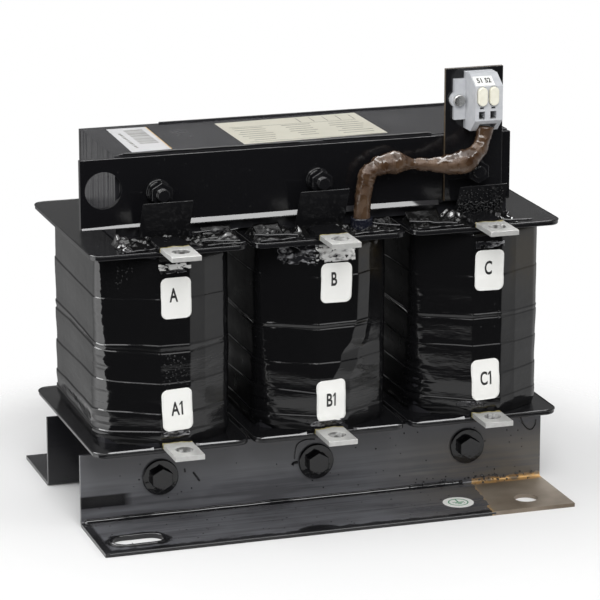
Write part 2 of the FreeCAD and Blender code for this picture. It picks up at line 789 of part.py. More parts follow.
upper_front_spring = stand_off(UPPER_FRONT, "washer_sheet")
lower_rear_spring = stand_off(LOWER_REAR, "washer_sheet")
make_rings("plain_washers", UPPER_FRONT + UPPER_REAR + LOWER_REAR, "washer_size")
make_rings("wide_washers", LOWER_FRONT, "wide_washer")
make_rings("spring_washers", upper_front_spring + lower_rear_spring, "spring_washer", "spring_slit")
make_nuts(
    "clamp_nuts",
    stand_off(upper_front_spring, "washer_sheet") + stand_off(lower_rear_spring, "washer_sheet"),
)
make_bolts("upper_clamp_bolts", stand_off(UPPER_REAR, "washer_sheet"), "upper_bolt")
make_bolts("lower_clamp_bolts", stand_off(LOWER_FRONT, "washer_sheet"), "lower_bolt")
make_bolt_sleeves()

# Bracket plate under the phase C nut

bracket = new_body("terminal_bracket")
bracket_outline = sketch_on(bracket, "plate_outline", FRONT, f"-{BAR_FACE}")
rectangle(
    bracket_outline, "plate_left", "plate_bottom", "plate_left + plate_width", "plate_bottom + plate_height"
)
circle(bracket_outline, "leg_pitch", UPPER_BOLT_LEVEL, "bolt_hole")
circle(bracket_outline, "block_left - screw_inset", "block_bottom + screw_height", "screw_hole")
pad(bracket, "plate", bracket_outline, "plate_sheet")

# Terminal block. Its bodies share a frame on the bracket's face, under the block's middle.


def block_body(label, pieces=1):
    return new_body(label, BLOCK_CENTRE, f"-{PLATE_FACE}", "block_bottom", pieces=pieces)


def make_housing():
    """A moulded housing with a chamber, a wire entry and a probe slot for each pole."""
    body = block_body("terminal_block_housing")
    profile = sketch_on(body, "housing_profile", SIDE)
    polygon(
        profile,
        [
            ("0", "0"),
            ("-chin_depth", "0"),
            ("-block_depth", "chin_height"),
            ("-block_depth", "brow_height"),
            ("-brow_depth", "block_height"),
            ("0", "block_height"),
        ],
    )
    pad(body, "housing", profile, "block_width", both_sides=True)
    ear = sketch_on(body, "ear_outline", FRONT)
    ear_left = "-block_width / 2 - ear_width"
    rectangle(ear, ear_left, "ear_bottom", "-block_width / 2", "ear_bottom + ear_height")
    pad(body, "ear", ear, "ear_sheet")
    bulge = sketch_on(body, "bulge_outline", FRONT)
    circle(bulge, "-block_width / 2 - screw_inset", "screw_height", "ear_round")
    pad(body, "bulge", bulge, "ear_sheet")
    hole = sketch_on(body, "screw_hole_outline", FRONT, "-ear_sheet")
    circle(hole, "-block_width / 2 - screw_inset", "screw_height", "screw_hole")
    pocket(body, "screw_bore", hole, "ear_sheet")
    chambers = sketch_on(body, "chamber_outlines", FRONT, "-block_depth")
    entries = sketch_on(body, "entry_outlines", FRONT, "-block_depth")
    probes = sketch_on(body, "probe_outlines", FRONT, "-block_depth")
    for pole in POLES.values():
        height, width = "(button_height + 2 * button_clearance)", "(button_width + 2 * button_clearance)"
        oval(chambers, pole, "button_level", height, width, upright=True)
        left, right = f"{pole} - entry_width / 2", f"{pole} + entry_width / 2"
        rectangle(entries, left, "entry_level", right, "entry_level + entry_height")
        left, right = f"{pole} - probe_width / 2", f"{pole} + probe_width / 2"
        rectangle(probes, left, "probe_level", right, "probe_level + probe_height")
    pocket(body, "chambers", chambers, "chamber_depth")
    pocket(body, "entries", entries, "entry_depth")
    pocket(body, "probes", probes, "probe_depth")
    lead = sketch_on(body, "lead_outline", TOP)
    lead_start = "lead_left - block_width / 2"
    rectangle(lead, lead_start, "-lead_rear - lead_width", f"{lead_start} + lead_width", "-lead_rear")
    pocket(body, "lead_opening", lead, "lead_height", backwards=True)


def make_button(label, pole):
    """A spring-clamp button that slides into its chamber when it is pressed."""
    body = block_body(label)
    outline = sketch_on(body, "button_outline", FRONT, "-block_depth - button_rise")
    oval(outline, pole, "button_level", "button_height", "button_width", upright=True)
    pad(body, "button", outline, "button_length", backwards=True)


def make_clamp_springs():
    """Bent leaf springs at the back of the chambers, with room for the button's travel."""
    body = block_body("clamp_springs", pieces=2)
    back = "(chamber_depth - block_depth)"
    bottom = "(button_level - spring_height / 2)"
    top = f"({bottom} + spring_height)"
    for number, pole in POLES.items():
        profile = sketch_on(body, f"leaf_{number}_profile", SIDE, pole)
        polygon(
            profile,
            [
                (back, bottom),
                (back, top),
                (f"{back} - spring_depth", top),
                (f"{back} - spring_depth", bottom),
                (f"{back} - spring_depth + spring_strip", bottom),
                (f"{back} - spring_depth + spring_strip", f"{top} - spring_strip"),
                (f"{back} - spring_strip", f"{top} - spring_strip"),
                (f"{back} - spring_strip", bottom),
            ],
        )
        pad(body, f"leaf_{number}", profile, "spring_width", both_sides=True)


def make_current_bars():
    body = block_body("current_bars", pieces=2)
    for number, pole in POLES.items():
        outline = sketch_on(body, f"bar_{number}_outline", TOP, "entry_level")
        rear = "(entry_depth - block_depth)"
        left, right = f"{pole} - contact_width / 2", f"{pole} + contact_width / 2"
        rectangle(outline, left, f"{rear} - contact_length", right, rear)
        pad(body, f"bar_{number}", outline, "contact_sheet")


def make_block_screw():
    """A pan-head screw through the ear and the plate, with its nut behind the plate."""
    place = ("-block_width / 2 - screw_inset", "screw_height")
    body = block_body("block_screw")
    head = sketch_on(body, "head_outline", FRONT, "-ear_sheet")
    circle(head, *place, "screw_head")
    pad(body, "head", head, "screw_head_height")
    shank = sketch_on(body, "shank_outline", FRONT, "-ear_sheet")
    circle(shank, *place, "screw_size - thread_fit")
    pad(body, "shank", shank, "ear_sheet + plate_sheet + screw_nut_height + screw_stub", backwards=True)
    nut_body = block_body("block_screw_nut")
    nut = sketch_on(nut_body, "nut_outline", FRONT, "plate_sheet")
    hexagon(nut, *place, "screw_nut")
    circle(nut, *place, "screw_size")
    pad(nut_body, "nut", nut, "screw_nut_height", backwards=True)


make_housing()
for number, pole in POLES.items():
    make_button(f"clamp_button_{number}", pole)
make_clamp_springs()
make_current_bars()
make_block_screw()

# Thermal switch in the middle coil, and the varnish-stiff sleeve from it to the terminal block

switch = new_body("thermal_switch", "sensor_across", f"-{SENSOR_FORWARD}", f"{COIL_TOP} - switch_length")
switch_outline = sketch_on(switch, "capsule_outline", TOP)
circle(switch_outline, "0", "0", "switch_size")
pad(switch, "capsule", switch_outline, "switch_length")

tie = new_body("sleeve_tie", "sensor_across", f"-{SENSOR_FORWARD}", FORMER_TOP)
tie_outline = sketch_on(tie, "band_outline", TOP)
circle(tie_outline, "0", "0", "tie_size")
circle(tie_outline, "0", "0", "sleeve_size + thread_fit")
pad(tie, "band", tie_outline, "tie_height")

# The sleeve's route, chosen by hand: up from the coil, along the clamp bar and up into the block
SLEEVE_ROUTE = [
    (value("sensor_across"), -value(SENSOR_FORWARD), value(COIL_TOP)),
    (value("sensor_across"), -value(SENSOR_FORWARD), 151.5),
    (21.5, -43.5, 161),
    (23, -43, 168),
    (29, -43, 172),
    (38, -43.2, 172.8),
    (47.5, -44, 171.2),
    (58, -46.5, 170.7),
    (67.5, -51, 171.3),
    (75.5, -52, 175),
    (80.8, -48.8, 181),
    (82, -48, 188.5),
]


def route_wire(route):
    """Straight runs joined by tangent arcs as large as each pair of runs allows."""
    points = [FreeCAD.Vector(*point) for point in route]
    edges = []
    start = points[0]
    radii = []
    for before, corner, after in zip(points, points[1:], points[2:]):
        arriving = (corner - before).normalize()
        leaving = (after - corner).normalize()
        half_turn = arriving.getAngle(leaving) / 2
        reach = 0.45 * min(before.distanceToPoint(corner), corner.distanceToPoint(after))
        radius = reach / math.tan(half_turn)
        radii.append(round(radius, 1))
        inward = (leaving - arriving).normalize()
        crown = corner + inward * (radius / math.cos(half_turn) - radius)
        arc_start = corner - arriving * reach
        arc_end = corner + leaving * reach
        edges.append(Part.LineSegment(start, arc_start).toShape())
        edges.append(Part.Arc(arc_start, crown, arc_end).toShape())
        start = arc_end
    edges.append(Part.LineSegment(start, points[-1]).toShape())
    return Part.Wire(edges), radii


def make_sleeve():
    path, radii = route_wire(SLEEVE_ROUTE)
    radius = value("sleeve_size") / 2
    section = Part.Circle(FreeCAD.Vector(*SLEEVE_ROUTE[0]), FreeCAD.Vector(0, 0, 1), radius)
    sleeve = path.makePipeShell([Part.Wire(section.toShape())], True, False)
    solid_piece("sensor_sleeve", sleeve)
    expected = math.pi * radius ** 2 * path.Length
    print("sleeve length", round(path.Length, 1), "radii", radii)
    print("sleeve volume", round(sleeve.Volume), "section times length", round(expected))


make_sleeve()

# Checks and export

doc.recompute()
for item in doc.Objects:
    if "Invalid" in item.State or "Error" in item.State:
        raise RuntimeError(f"{item.Name} failed: {item.State}")
    if item.TypeId == "PartDesign::Pocket":
        if item.Shape.Volume > item.BaseFeature.Shape.Volume - 0.001:
            raise RuntimeError(f"{item.Name} cuts nothing")
for piece in bodies:
    if piece.Shape.isNull() or not piece.Shape.isValid():
        raise RuntimeError(f"{piece.Label} has no valid shape")
for piece in bodies:
    piece.Shape.exportStep(f"parts/{piece.Label}.step")
print(len(bodies), "sub-parts")
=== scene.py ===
import json
import math
import random

import bmesh
import bpy
from mathutils import Matrix, Vector, noise
from mathutils.bvhtree import BVHTree

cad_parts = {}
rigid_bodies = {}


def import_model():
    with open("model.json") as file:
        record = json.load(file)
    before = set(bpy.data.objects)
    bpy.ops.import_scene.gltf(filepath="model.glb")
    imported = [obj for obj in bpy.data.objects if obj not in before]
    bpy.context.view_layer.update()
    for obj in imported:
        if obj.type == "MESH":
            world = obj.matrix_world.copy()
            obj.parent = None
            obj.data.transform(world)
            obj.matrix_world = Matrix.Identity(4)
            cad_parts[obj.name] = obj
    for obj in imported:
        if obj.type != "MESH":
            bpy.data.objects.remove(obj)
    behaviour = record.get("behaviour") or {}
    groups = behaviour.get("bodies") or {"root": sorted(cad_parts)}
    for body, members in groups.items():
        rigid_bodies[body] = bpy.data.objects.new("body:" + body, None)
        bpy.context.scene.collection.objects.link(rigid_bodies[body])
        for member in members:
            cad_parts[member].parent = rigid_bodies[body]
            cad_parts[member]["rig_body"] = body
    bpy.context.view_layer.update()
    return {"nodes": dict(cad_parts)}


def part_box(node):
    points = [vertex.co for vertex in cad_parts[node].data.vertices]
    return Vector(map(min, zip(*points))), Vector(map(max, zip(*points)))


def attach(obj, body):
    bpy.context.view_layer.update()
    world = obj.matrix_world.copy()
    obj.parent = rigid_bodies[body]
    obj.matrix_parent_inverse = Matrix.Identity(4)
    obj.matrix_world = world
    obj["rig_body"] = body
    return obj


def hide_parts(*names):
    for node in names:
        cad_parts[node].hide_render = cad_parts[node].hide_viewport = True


# Three-phase detuned filter reactor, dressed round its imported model. Lengths are in metres, phase A
# stands at -X, the terminals face -Y and the feet stand on z = 0.

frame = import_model()
MM = 0.001

# Camera. The photograph was taken from the left and a little above with a long lens, far enough
# away that the upright edges stay almost parallel.
CAMERA_TARGET = Vector((5.13, 0, 96.73)) * MM
CAMERA_AZIMUTH = math.radians(-18.29)
CAMERA_ELEVATION = math.radians(15.06)
CAMERA_DISTANCE = 1.609
LENS_IN_PIXELS = 3221
PICTURE_WIDTH = 600
SENSOR_WIDTH = 36
SHIFT_IN_PIXELS = (-3.92, -2.76)


def new_object(name, data):
    """An object in the scene, at the origin."""
    made = bpy.data.objects.new(name, data)
    bpy.context.scene.collection.objects.link(made)
    return made


camera_data = bpy.data.cameras.new("camera")
camera_data.sensor_width = SENSOR_WIDTH
camera_data.lens = LENS_IN_PIXELS / PICTURE_WIDTH * SENSOR_WIDTH
camera_data.shift_x = SHIFT_IN_PIXELS[0] / PICTURE_WIDTH
camera_data.shift_y = SHIFT_IN_PIXELS[1] / PICTURE_WIDTH
camera = new_object("camera", camera_data)
away = Vector(
    (
        math.sin(CAMERA_AZIMUTH) * math.cos(CAMERA_ELEVATION),
        -math.cos(CAMERA_AZIMUTH) * math.cos(CAMERA_ELEVATION),
        math.sin(CAMERA_ELEVATION),
    )
)
camera.location = CAMERA_TARGET + away * CAMERA_DISTANCE
camera.rotation_euler = away.to_track_quat("Z", "Y").to_euler()
bpy.context.scene.camera = camera
bpy.context.scene.view_settings.view_transform = "Standard"

# Studio. A round pale table top in a white surround. The varnish mirrors a soft box on the left, a
# dimmer one on the right, a pale wall behind and a ring of light above that is open on the right, with
# the dark room in front. Turns are in degrees from straight behind, and to the right is more.
TABLE_RADIUS = 0.25
TABLE_WHITE_RADIUS = 0.17
TABLE_SIDES = 96
TABLE_COLOUR = (0.9, 0.9, 0.9, 1)
SURROUND_DIFFUSE = 0.55
MIRRORED_ROUND = (
    (-180, 0.01),
    (-110, 0.01),
    (-107, 3.3),
    (-62, 2.3),
    (-40, 0.85),
    (-24, 0.33),
    (50, 0.3),
    (78, 1.0),
    (130, 0.45),
    (135, 0.01),
    (180, 0.01),
)
MIRRORED_BRIGHTEST = 4
MIRRORED_WALL = 0.65
WALL_EDGE = (-0.06, 0.16)
MIRRORED_RING = 9.0
RING_LOWER_EDGE = (0.58, 0.63)
RING_UPPER_EDGE = (0.84, 0.79)
RING_RIGHT_END = (0.5, 0.38)
OVERHEAD_SHARE = 0.2
LAMPS = {
    "lamp_above": ((-0.25, -1.15, 1.15), 0.75, 14.5),
    "lamp_left": ((-1.45, 0.25, 0.75), 0.9, 9.0),
    "lamp_right": ((1.3, -0.9, 0.9), 0.6, 4.0),
}


def fill(tree, node, inputs):
    """Fill a node's sockets, by name or number: a socket is linked, a plain value is set."""
    for key, given in inputs.items():
        if isinstance(given, bpy.types.NodeSocket):
            tree.links.new(given, node.inputs[key])
        else:
            node.inputs[key].default_value = given


def add_node(tree, kind, inputs=None, **settings):
    made = tree.nodes.new(kind)
    for key, setting in settings.items():
        setattr(made, key, setting)
    fill(tree, made, inputs or {})
    return made


def first_out(tree, kind, inputs=None, **settings):
    """Add a node and give its first output."""
    return add_node(tree, kind, inputs, **settings).outputs[0]


def reckon(tree, operation, *values):
    return first_out(tree, "ShaderNodeMath", dict(enumerate(values)), operation=operation)


def ramp(tree, value, low, high, low_to=0.0, high_to=1.0, **settings):
    """Lead a value from one range to another, held at both ends."""
    inputs = {"Value": value, "From Min": low, "From Max": high, "To Min": low_to, "To Max": high_to}
    return first_out(tree, "ShaderNodeMapRange", inputs, **settings)


def axes(tree, vector):
    """The X, Y and Z of a place or a direction."""
    return tuple(add_node(tree, "ShaderNodeSeparateXYZ", {"Vector": vector}).outputs)


def spaced(start, end, steps):
    """Even places from start to end, both included."""
    return [start + (end - start) * step / steps for step in range(steps + 1)]


def mesh_object(name, vertices, faces, smooth=True):
    """A new mesh object at the origin, with its place in its vertices."""
    mesh = bpy.data.meshes.new(name)
    mesh.from_pydata([tuple(vertex) for vertex in vertices], [], faces)
    mesh.validate()
    mesh.polygons.foreach_set("use_smooth", [smooth] * len(mesh.polygons))
    return new_object(name, mesh)


table_turns = spaced(0, math.tau, TABLE_SIDES)[:-1]
table_ring = [(TABLE_RADIUS * math.cos(turn), TABLE_RADIUS * math.sin(turn), 0) for turn in table_turns]
table = mesh_object("table_top", table_ring, [list(range(TABLE_SIDES))], smooth=False)
table_finish = bpy.data.materials.new("table_paper")
table_finish.use_nodes = True
tree = table_finish.node_tree
tree.nodes.clear()
diffuse = first_out(tree, "ShaderNodeBsdfDiffuse", {"Color": TABLE_COLOUR})
clear = first_out(tree, "ShaderNodeBsdfTransparent")
place = add_node(tree, "ShaderNodeNewGeometry").outputs["Position"]
spread = add_node(tree, "ShaderNodeVectorMath", {0: place}, operation="LENGTH").outputs["Value"]
fade = ramp(tree, spread, TABLE_WHITE_RADIUS, TABLE_RADIUS, interpolation_type="SMOOTHSTEP")
mixed = first_out(tree, "ShaderNodeMixShader", {0: fade, 1: diffuse, 2: clear})
add_node(tree, "ShaderNodeOutputMaterial", {"Surface": mixed})
table.data.materials.append(table_finish)

world = bpy.data.worlds.new("studio")
bpy.context.scene.world = world
world.use_nodes = True
tree = world.node_tree
tree.nodes.clear()
rays = add_node(tree, "ShaderNodeLightPath").outputs
to_right, to_rear, upwards = axes(tree, add_node(tree, "ShaderNodeTexCoord").outputs["Generated"])
turn = reckon(tree, "ARCTAN2", to_right, to_rear)
boxes = add_node(tree, "ShaderNodeValToRGB", {"Fac": ramp(tree, turn, -math.pi, math.pi)})
stops = boxes.color_ramp.elements
for index, (degrees, brightness) in enumerate(MIRRORED_ROUND):
    share = (degrees + 180) / 360
    stop = stops[index] if index < 2 else stops.new(share)
    stop.position = share
    stop.color = (brightness / MIRRORED_BRIGHTEST,) * 3 + (1,)
wall = ramp(tree, upwards, *WALL_EDGE, MIRRORED_BRIGHTEST, MIRRORED_BRIGHTEST * MIRRORED_WALL)
mirrored = reckon(tree, "MULTIPLY", boxes.outputs[0], wall)
ring_light = 1.0
for direction, edge, least, most in (
    (upwards, RING_LOWER_EDGE, 0, MIRRORED_RING),
    (upwards, RING_UPPER_EDGE, OVERHEAD_SHARE, 1),
    (to_right, RING_RIGHT_END, 0, 1),
):
    lit = ramp(tree, direction, *edge, least, most, interpolation_type="SMOOTHSTEP")
    ring_light = reckon(tree, "MULTIPLY", lit, ring_light)
mirrored = reckon(tree, "ADD", mirrored, ring_light)
soft_light = first_out(tree, "ShaderNodeMix", {0: rays["Is Glossy Ray"], 2: SURROUND_DIFFUSE, 3: mirrored})
strength = first_out(tree, "ShaderNodeMix", {0: rays["Is Camera Ray"], 2: soft_light, 3: 1.0})
surround = first_out(tree, "ShaderNodeBackground", {"Color": (1, 1, 1, 1), "Strength": strength})
add_node(tree, "ShaderNodeOutputWorld", {"Surface": surround})

for lamp_name, (lamp_place, lamp_size, lamp_power) in LAMPS.items():
    lamp_data = bpy.data.lights.new(lamp_name, "AREA")
    lamp_data.size = lamp_size
    lamp_data.energy = lamp_power
    lamp = new_object(lamp_name, lamp_data)
    lamp.location = lamp_place
    lamp.visible_glossy = False
    lamp.rotation_euler = (Vector(lamp_place) - CAMERA_TARGET).to_track_quat("Z", "Y").to_euler()

# Core. Stacked electrical sheets, soaked in black varnish: the sheets' edges show as fine upright
# lines on the yoke's ends, and the varnish lies smooth on its top.
CORE_COLOUR = (0.02, 0.02, 0.023, 1)
CORE_ROUGHNESS = 0.2
SHEET_EDGE_SCALE = 420
SHEET_EDGE_STRETCH = (0.02, 1, 0.02)
SHEET_EDGE_DEPTH = 0.0006
USUAL_SPECULAR = 0.5
SHARP_ANGLE = math.radians(28)
MERGING_DISTANCE = 1e-6
INSIDE_NODES = ("leg_", "gap_spacer_", "winding_", "bolt_sleeves", "thermal_switch")


def shade(tree, **values):
    """Fill sockets of a tree's shader; an underscore stands for a space in a socket's name."""
    fill(tree, tree.nodes["Principled BSDF"], {key.replace("_", " "): given for key, given in values.items()})


def led_in(tree, socket):
    """What is led into a socket of the shader so far."""
    return tree.nodes["Principled BSDF"].inputs[socket].links[0].from_socket


def new_finish(name, colour, roughness, **sockets):
    """A material with one Principled shader; returns the material and its tree."""
    material = bpy.data.materials.new(name)
    material.use_nodes = True
    shade(material.node_tree, Base_Color=colour, Roughness=roughness, **sockets)
    return material, material.node_tree


def object_place(tree, stretch=(1, 1, 1)):
    coordinates = add_node(tree, "ShaderNodeTexCoord").outputs["Object"]
    return first_out(tree, "ShaderNodeMapping", {"Vector": coordinates, "Scale": stretch})


def noise_on(tree, scale, detail=2.0, roughness=0.5, stretch=(1, 1, 1)):
    """Noise on the object's own coordinates."""
    inputs = {"Vector": object_place(tree, stretch), "Scale": scale, "Detail": detail, "Roughness": roughness}
    return add_node(tree, "ShaderNodeTexNoise", inputs).outputs["Fac"]


def bump(tree, height, depth, before=None):
    """Raise a surface by a height map; depth is in metres."""
    inputs = {"Height": height, "Distance": depth, "Strength": 1.0}
    if before is not None:
        inputs["Normal"] = before
    return first_out(tree, "ShaderNodeBump", inputs)


def blend(tree, factor, first, second):
    """One colour turning into another."""
    return add_node(tree, "ShaderNodeMix", {0: factor, 6: first, 7: second}, data_type="RGBA").outputs[2]


def varnished(name, colour, roughness, waves=0.00035, grain=0.00002, stretch=(1, 1, 1), **sockets):
    """Black baking varnish: slow waves, a fine grain, and patches that shine a little less."""
    material, tree = new_finish(name, colour, roughness, **sockets)
    raised = bump(tree, noise_on(tree, 38, 3.0, 0.45, stretch), waves)
    raised = bump(tree, noise_on(tree, 520, 2.0, 0.5, stretch), grain, raised)
    patches = noise_on(tree, 24, 4.0, 0.6, stretch)
    shade(tree, Normal=raised, Roughness=ramp(tree, patches, 0.35, 0.7, roughness * 0.8, roughness * 1.45))
    return material


def baked(rough, name):
    """Turn an object with live modifiers into a plain mesh object at the origin."""
    evaluated = rough.evaluated_get(bpy.context.evaluated_depsgraph_get())
    mesh = bpy.data.meshes.new_from_object(evaluated)
    mesh.name = name
    bpy.data.objects.remove(rough)
    return new_object(name, mesh)


def fixed(made, finish, body="base"):
    """Give a piece its one finish and let it ride on a body."""
    made.data.materials.clear()
    made.data.materials.append(finish)
    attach(made, body)
    return made


def softened(node, width, finish, segments=2):
    """A node's own shape with its sharp edges rounded, as varnish leaves them; it stands for the node."""
    source = frame["nodes"][node]
    work = bmesh.new()
    work.from_mesh(source.data)
    bmesh.ops.remove_doubles(work, verts=work.verts, dist=MERGING_DISTANCE)
    bmesh.ops.dissolve_limit(work, angle_limit=math.radians(1), verts=work.verts, edges=work.edges)
    sharp = [edge for edge in work.edges if edge.calc_face_angle(0) > SHARP_ANGLE]
    bmesh.ops.bevel(
        work, geom=sharp, offset=width, segments=segments, profile=0.5, affect="EDGES", clamp_overlap=True
    )
    bmesh.ops.recalc_face_normals(work, faces=work.faces)
    mesh = bpy.data.meshes.new(f"{node}_finished")
    work.to_mesh(mesh)
    work.free()
    mesh.polygons.foreach_set("use_smooth", [True] * len(mesh.polygons))
    rough = new_object("rounding", mesh)
    weighting = rough.modifiers.new("flat faces stay flat", "WEIGHTED_NORMAL")
    weighting.keep_sharp = True
    made = fixed(baked(rough, f"{node}_finished"), finish, source["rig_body"])
    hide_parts(node)
    return made


def refinish(nodes, finish):
    """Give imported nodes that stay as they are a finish."""
    for node in nodes:
        frame["nodes"][node].data.materials.clear()
        frame["nodes"][node].data.materials.append(finish)


core_finish = varnished("varnished_core", CORE_COLOUR, CORE_ROUGHNESS, waves=0.0001)
tree = core_finish.node_tree
facing = axes(tree, add_node(tree, "ShaderNodeNewGeometry").outputs["Normal"])
on_ends = reckon(tree, "ABSOLUTE", facing[0])
sheets = noise_on(tree, SHEET_EDGE_SCALE, 3.0, 0.7, SHEET_EDGE_STRETCH)
lines = reckon(tree, "MULTIPLY", sheets, on_ends)
dull_sheets = reckon(tree, "MULTIPLY", ramp(tree, sheets, 0.46, 0.6, 0, 0.46), on_ends)
shade(
    tree,
    Normal=bump(tree, lines, SHEET_EDGE_DEPTH, led_in(tree, "Normal")),
    Specular_IOR_Level=reckon(tree, "SUBTRACT", USUAL_SPECULAR, dull_sheets),
)
softened("lower_yoke", 0.5 * MM, core_finish)
softened("upper_yoke", 0.5 * MM, core_finish)
hidden_finish = varnished("varnished_inside", CORE_COLOUR, CORE_ROUGHNESS)
refinish([node for node in frame["nodes"] if node.startswith(INSIDE_NODES)], hidden_finish)

# Coil formers. Moulded flanges above and below each coil. The varnish they were dipped in ran to their
# rims and set there as an uneven bead, which shows as a thin bright line. Beads are (depth under the
# flange's top, radius) in millimetres.
FORMER_COLOUR = (0.008, 0.008, 0.009, 1)
FORMER_ROUGHNESS = 0.14
COIL_CENTRES = {"a": -80 * MM, "b": 0.0, "c": 80 * MM}
FLANGE_HALF_WIDTH = 38.7 * MM
FLANGE_HALF_DEPTH = 59 * MM
FLANGE_CORNER = 6 * MM
CORNER_STEPS = 9
RIM_BEADS = {"upper": (0.35, 0.5), "lower": (0.3, 0.62)}
RIM_BEAD_SHARE = 0.9965


def oblong(half_wide, half_deep, radius):
    """The corners of a rectangle with round corners, about its middle."""
    return [(x * half_wide, y * half_deep, radius) for x, y in ((-1, -1), (1, -1), (1, 1), (-1, 1))]


def rounded_plan(corners, straight_steps):
    """A closed outline with rounded corners and the same number of points for any place of them."""
    count = len(corners)
    arcs = []
    for index, (x, y, radius) in enumerate(corners):
        corner = Vector((x, y))
        before = Vector(corners[index - 1][:2])
        after = Vector(corners[(index + 1) % count][:2])
        arriving = (corner - before).normalized()
        leaving = (after - corner).normalized()
        half_turn = arriving.angle(leaving) / 2
        inward = (leaving - arriving).normalized()
        centre = corner + inward * (radius / math.cos(half_turn))
        start = corner - arriving * (radius * math.tan(half_turn)) - centre
        turns = spaced(0, 2 * half_turn, CORNER_STEPS)
        arcs.append([centre + Matrix.Rotation(turn, 2) @ start for turn in turns])
    points = []
    for index, arc in enumerate(arcs):
        following = arcs[(index + 1) % count][0]
        points += arc
        points += [arc[-1].lerp(following, share) for share in spaced(0, 1, straight_steps[index])[1:-1]]
    return points


def path_object(points, closed=False):
    """A bare line through points, for a rule to run along."""
    links = [(index, index + 1) for index in range(len(points) - 1)]
    if closed:
        links.append((len(points) - 1, 0))
    mesh = bpy.data.meshes.new("path")
    mesh.from_pydata([tuple(point) for point in points], links, [])
    return new_object("path", mesh)


def new_rule(name, sizes):
    """A geometry tree with a named input for each size; returns the tree and its inputs."""
    tree = bpy.data.node_groups.new(name, "GeometryNodeTree")
    tree.interface.new_socket("Base", in_out="INPUT", socket_type="NodeSocketGeometry")
    kinds = {int: "NodeSocketInt", float: "NodeSocketFloat", tuple: "NodeSocketVector"}
    for label, usual in sizes.items():
        socket = tree.interface.new_socket(label, in_out="INPUT", socket_type=kinds[type(usual)])
        socket.default_value = usual
    tree.interface.new_socket("Finish", in_out="INPUT", socket_type="NodeSocketMaterial")
    tree.interface.new_socket("Piece", in_out="OUTPUT", socket_type="NodeSocketGeometry")
    return tree, tree.nodes.new("NodeGroupInput").outputs


def end_rule(tree, given, geometry):
    """Close a tree: real meshes, smooth, in the finish that was asked for."""
    real = first_out(tree, "GeometryNodeRealizeInstances", {"Geometry": geometry})
    smooth = first_out(tree, "GeometryNodeSetShadeSmooth", {"Geometry": real})
    finished = first_out(tree, "GeometryNodeSetMaterial", {"Geometry": smooth, "Material": given["Finish"]})
    add_node(tree, "NodeGroupOutput", {0: finished})


def by_rule(tree, base, name, finish, **sizes):
    """Run a tree on a base object and keep what it makes as a plain mesh that rides on the base."""
    modifier = base.modifiers.new("rule", "NODES")
    modifier.node_group = tree
    for socket in tree.interface.items_tree:
        if socket.in_out == "INPUT" and socket.name in sizes:
            modifier[socket.identifier] = sizes[socket.name]
        if socket.name == "Finish":
            modifier[socket.identifier] = finish
    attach(baked(base, name), "base")


bead_rule, given = new_rule(
    "varnish bead", {"Radius": 0.5 * MM, "Step": 0.8 * MM, "Wander": 0.15 * MM, "Swell": 0.4}
)
tree = bead_rule
line = first_out(tree, "GeometryNodeMeshToCurve", {"Mesh": given["Base"]})
line = first_out(tree, "GeometryNodeCurveSplineType", {"Curve": line}, spline_type="CATMULL_ROM")
line = first_out(tree, "GeometryNodeResampleCurve", {"Curve": line, "Length": given["Step"]}, mode="LENGTH")
wave = add_node(tree, "ShaderNodeTexNoise", {"Scale": 160.0, "Detail": 1.0}).outputs["Color"]
wave = first_out(tree, "ShaderNodeVectorMath", {0: wave, 1: (0.5, 0.5, 0.5)}, operation="SUBTRACT")
wave = first_out(tree, "ShaderNodeVectorMath", {0: wave, "Scale": given["Wander"]}, operation="SCALE")
line = first_out(tree, "GeometryNodeSetPosition", {"Geometry": line, "Offset": wave})
lumps = add_node(tree, "ShaderNodeTexNoise", {"Scale": 90.0, "Detail": 2.0}).outputs["Fac"]
fatness = reckon(tree, "MULTIPLY_ADD", lumps, given["Swell"], 1.0)
line = first_out(tree, "GeometryNodeSetCurveRadius", {"Curve": line, "Radius": fatness})
ring = {"Resolution": 10, "Radius": given["Radius"]}
ring = first_out(tree, "GeometryNodeCurvePrimitiveCircle", ring, mode="RADIUS")
tube = first_out(tree, "GeometryNodeCurveToMesh", {"Curve": line, "Profile Curve": ring, "Fill Caps": True})
end_rule(tree, given, tube)

former_finish = varnished("varnished_former", FORMER_COLOUR, FORMER_ROUGHNESS, waves=0.0003)
bead_finish = varnished("varnish_bead", (0.006, 0.006, 0.007, 1), 0.07, waves=0.0001, grain=0.000004)
rim = rounded_plan(oblong(FLANGE_HALF_WIDTH, FLANGE_HALF_DEPTH, FLANGE_CORNER), (70, 100, 70, 100))
for phase, centre in COIL_CENTRES.items():
    softened(f"coil_former_{phase}", 0.6 * MM, former_finish, segments=3)
    tops = {"upper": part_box(f"coil_former_{phase}")[1].z, "lower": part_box(f"coil_wrap_{phase}")[0].z}
    for level, (under, radius) in RIM_BEADS.items():
        height = tops[level] - under * MM
        path = [(centre + point.x * RIM_BEAD_SHARE, point.y * RIM_BEAD_SHARE, height) for point in rim]
        name = f"rim_bead_{level}_{phase}"
        by_rule(bead_rule, path_object(path, True), name, bead_finish, Radius=radius * MM)

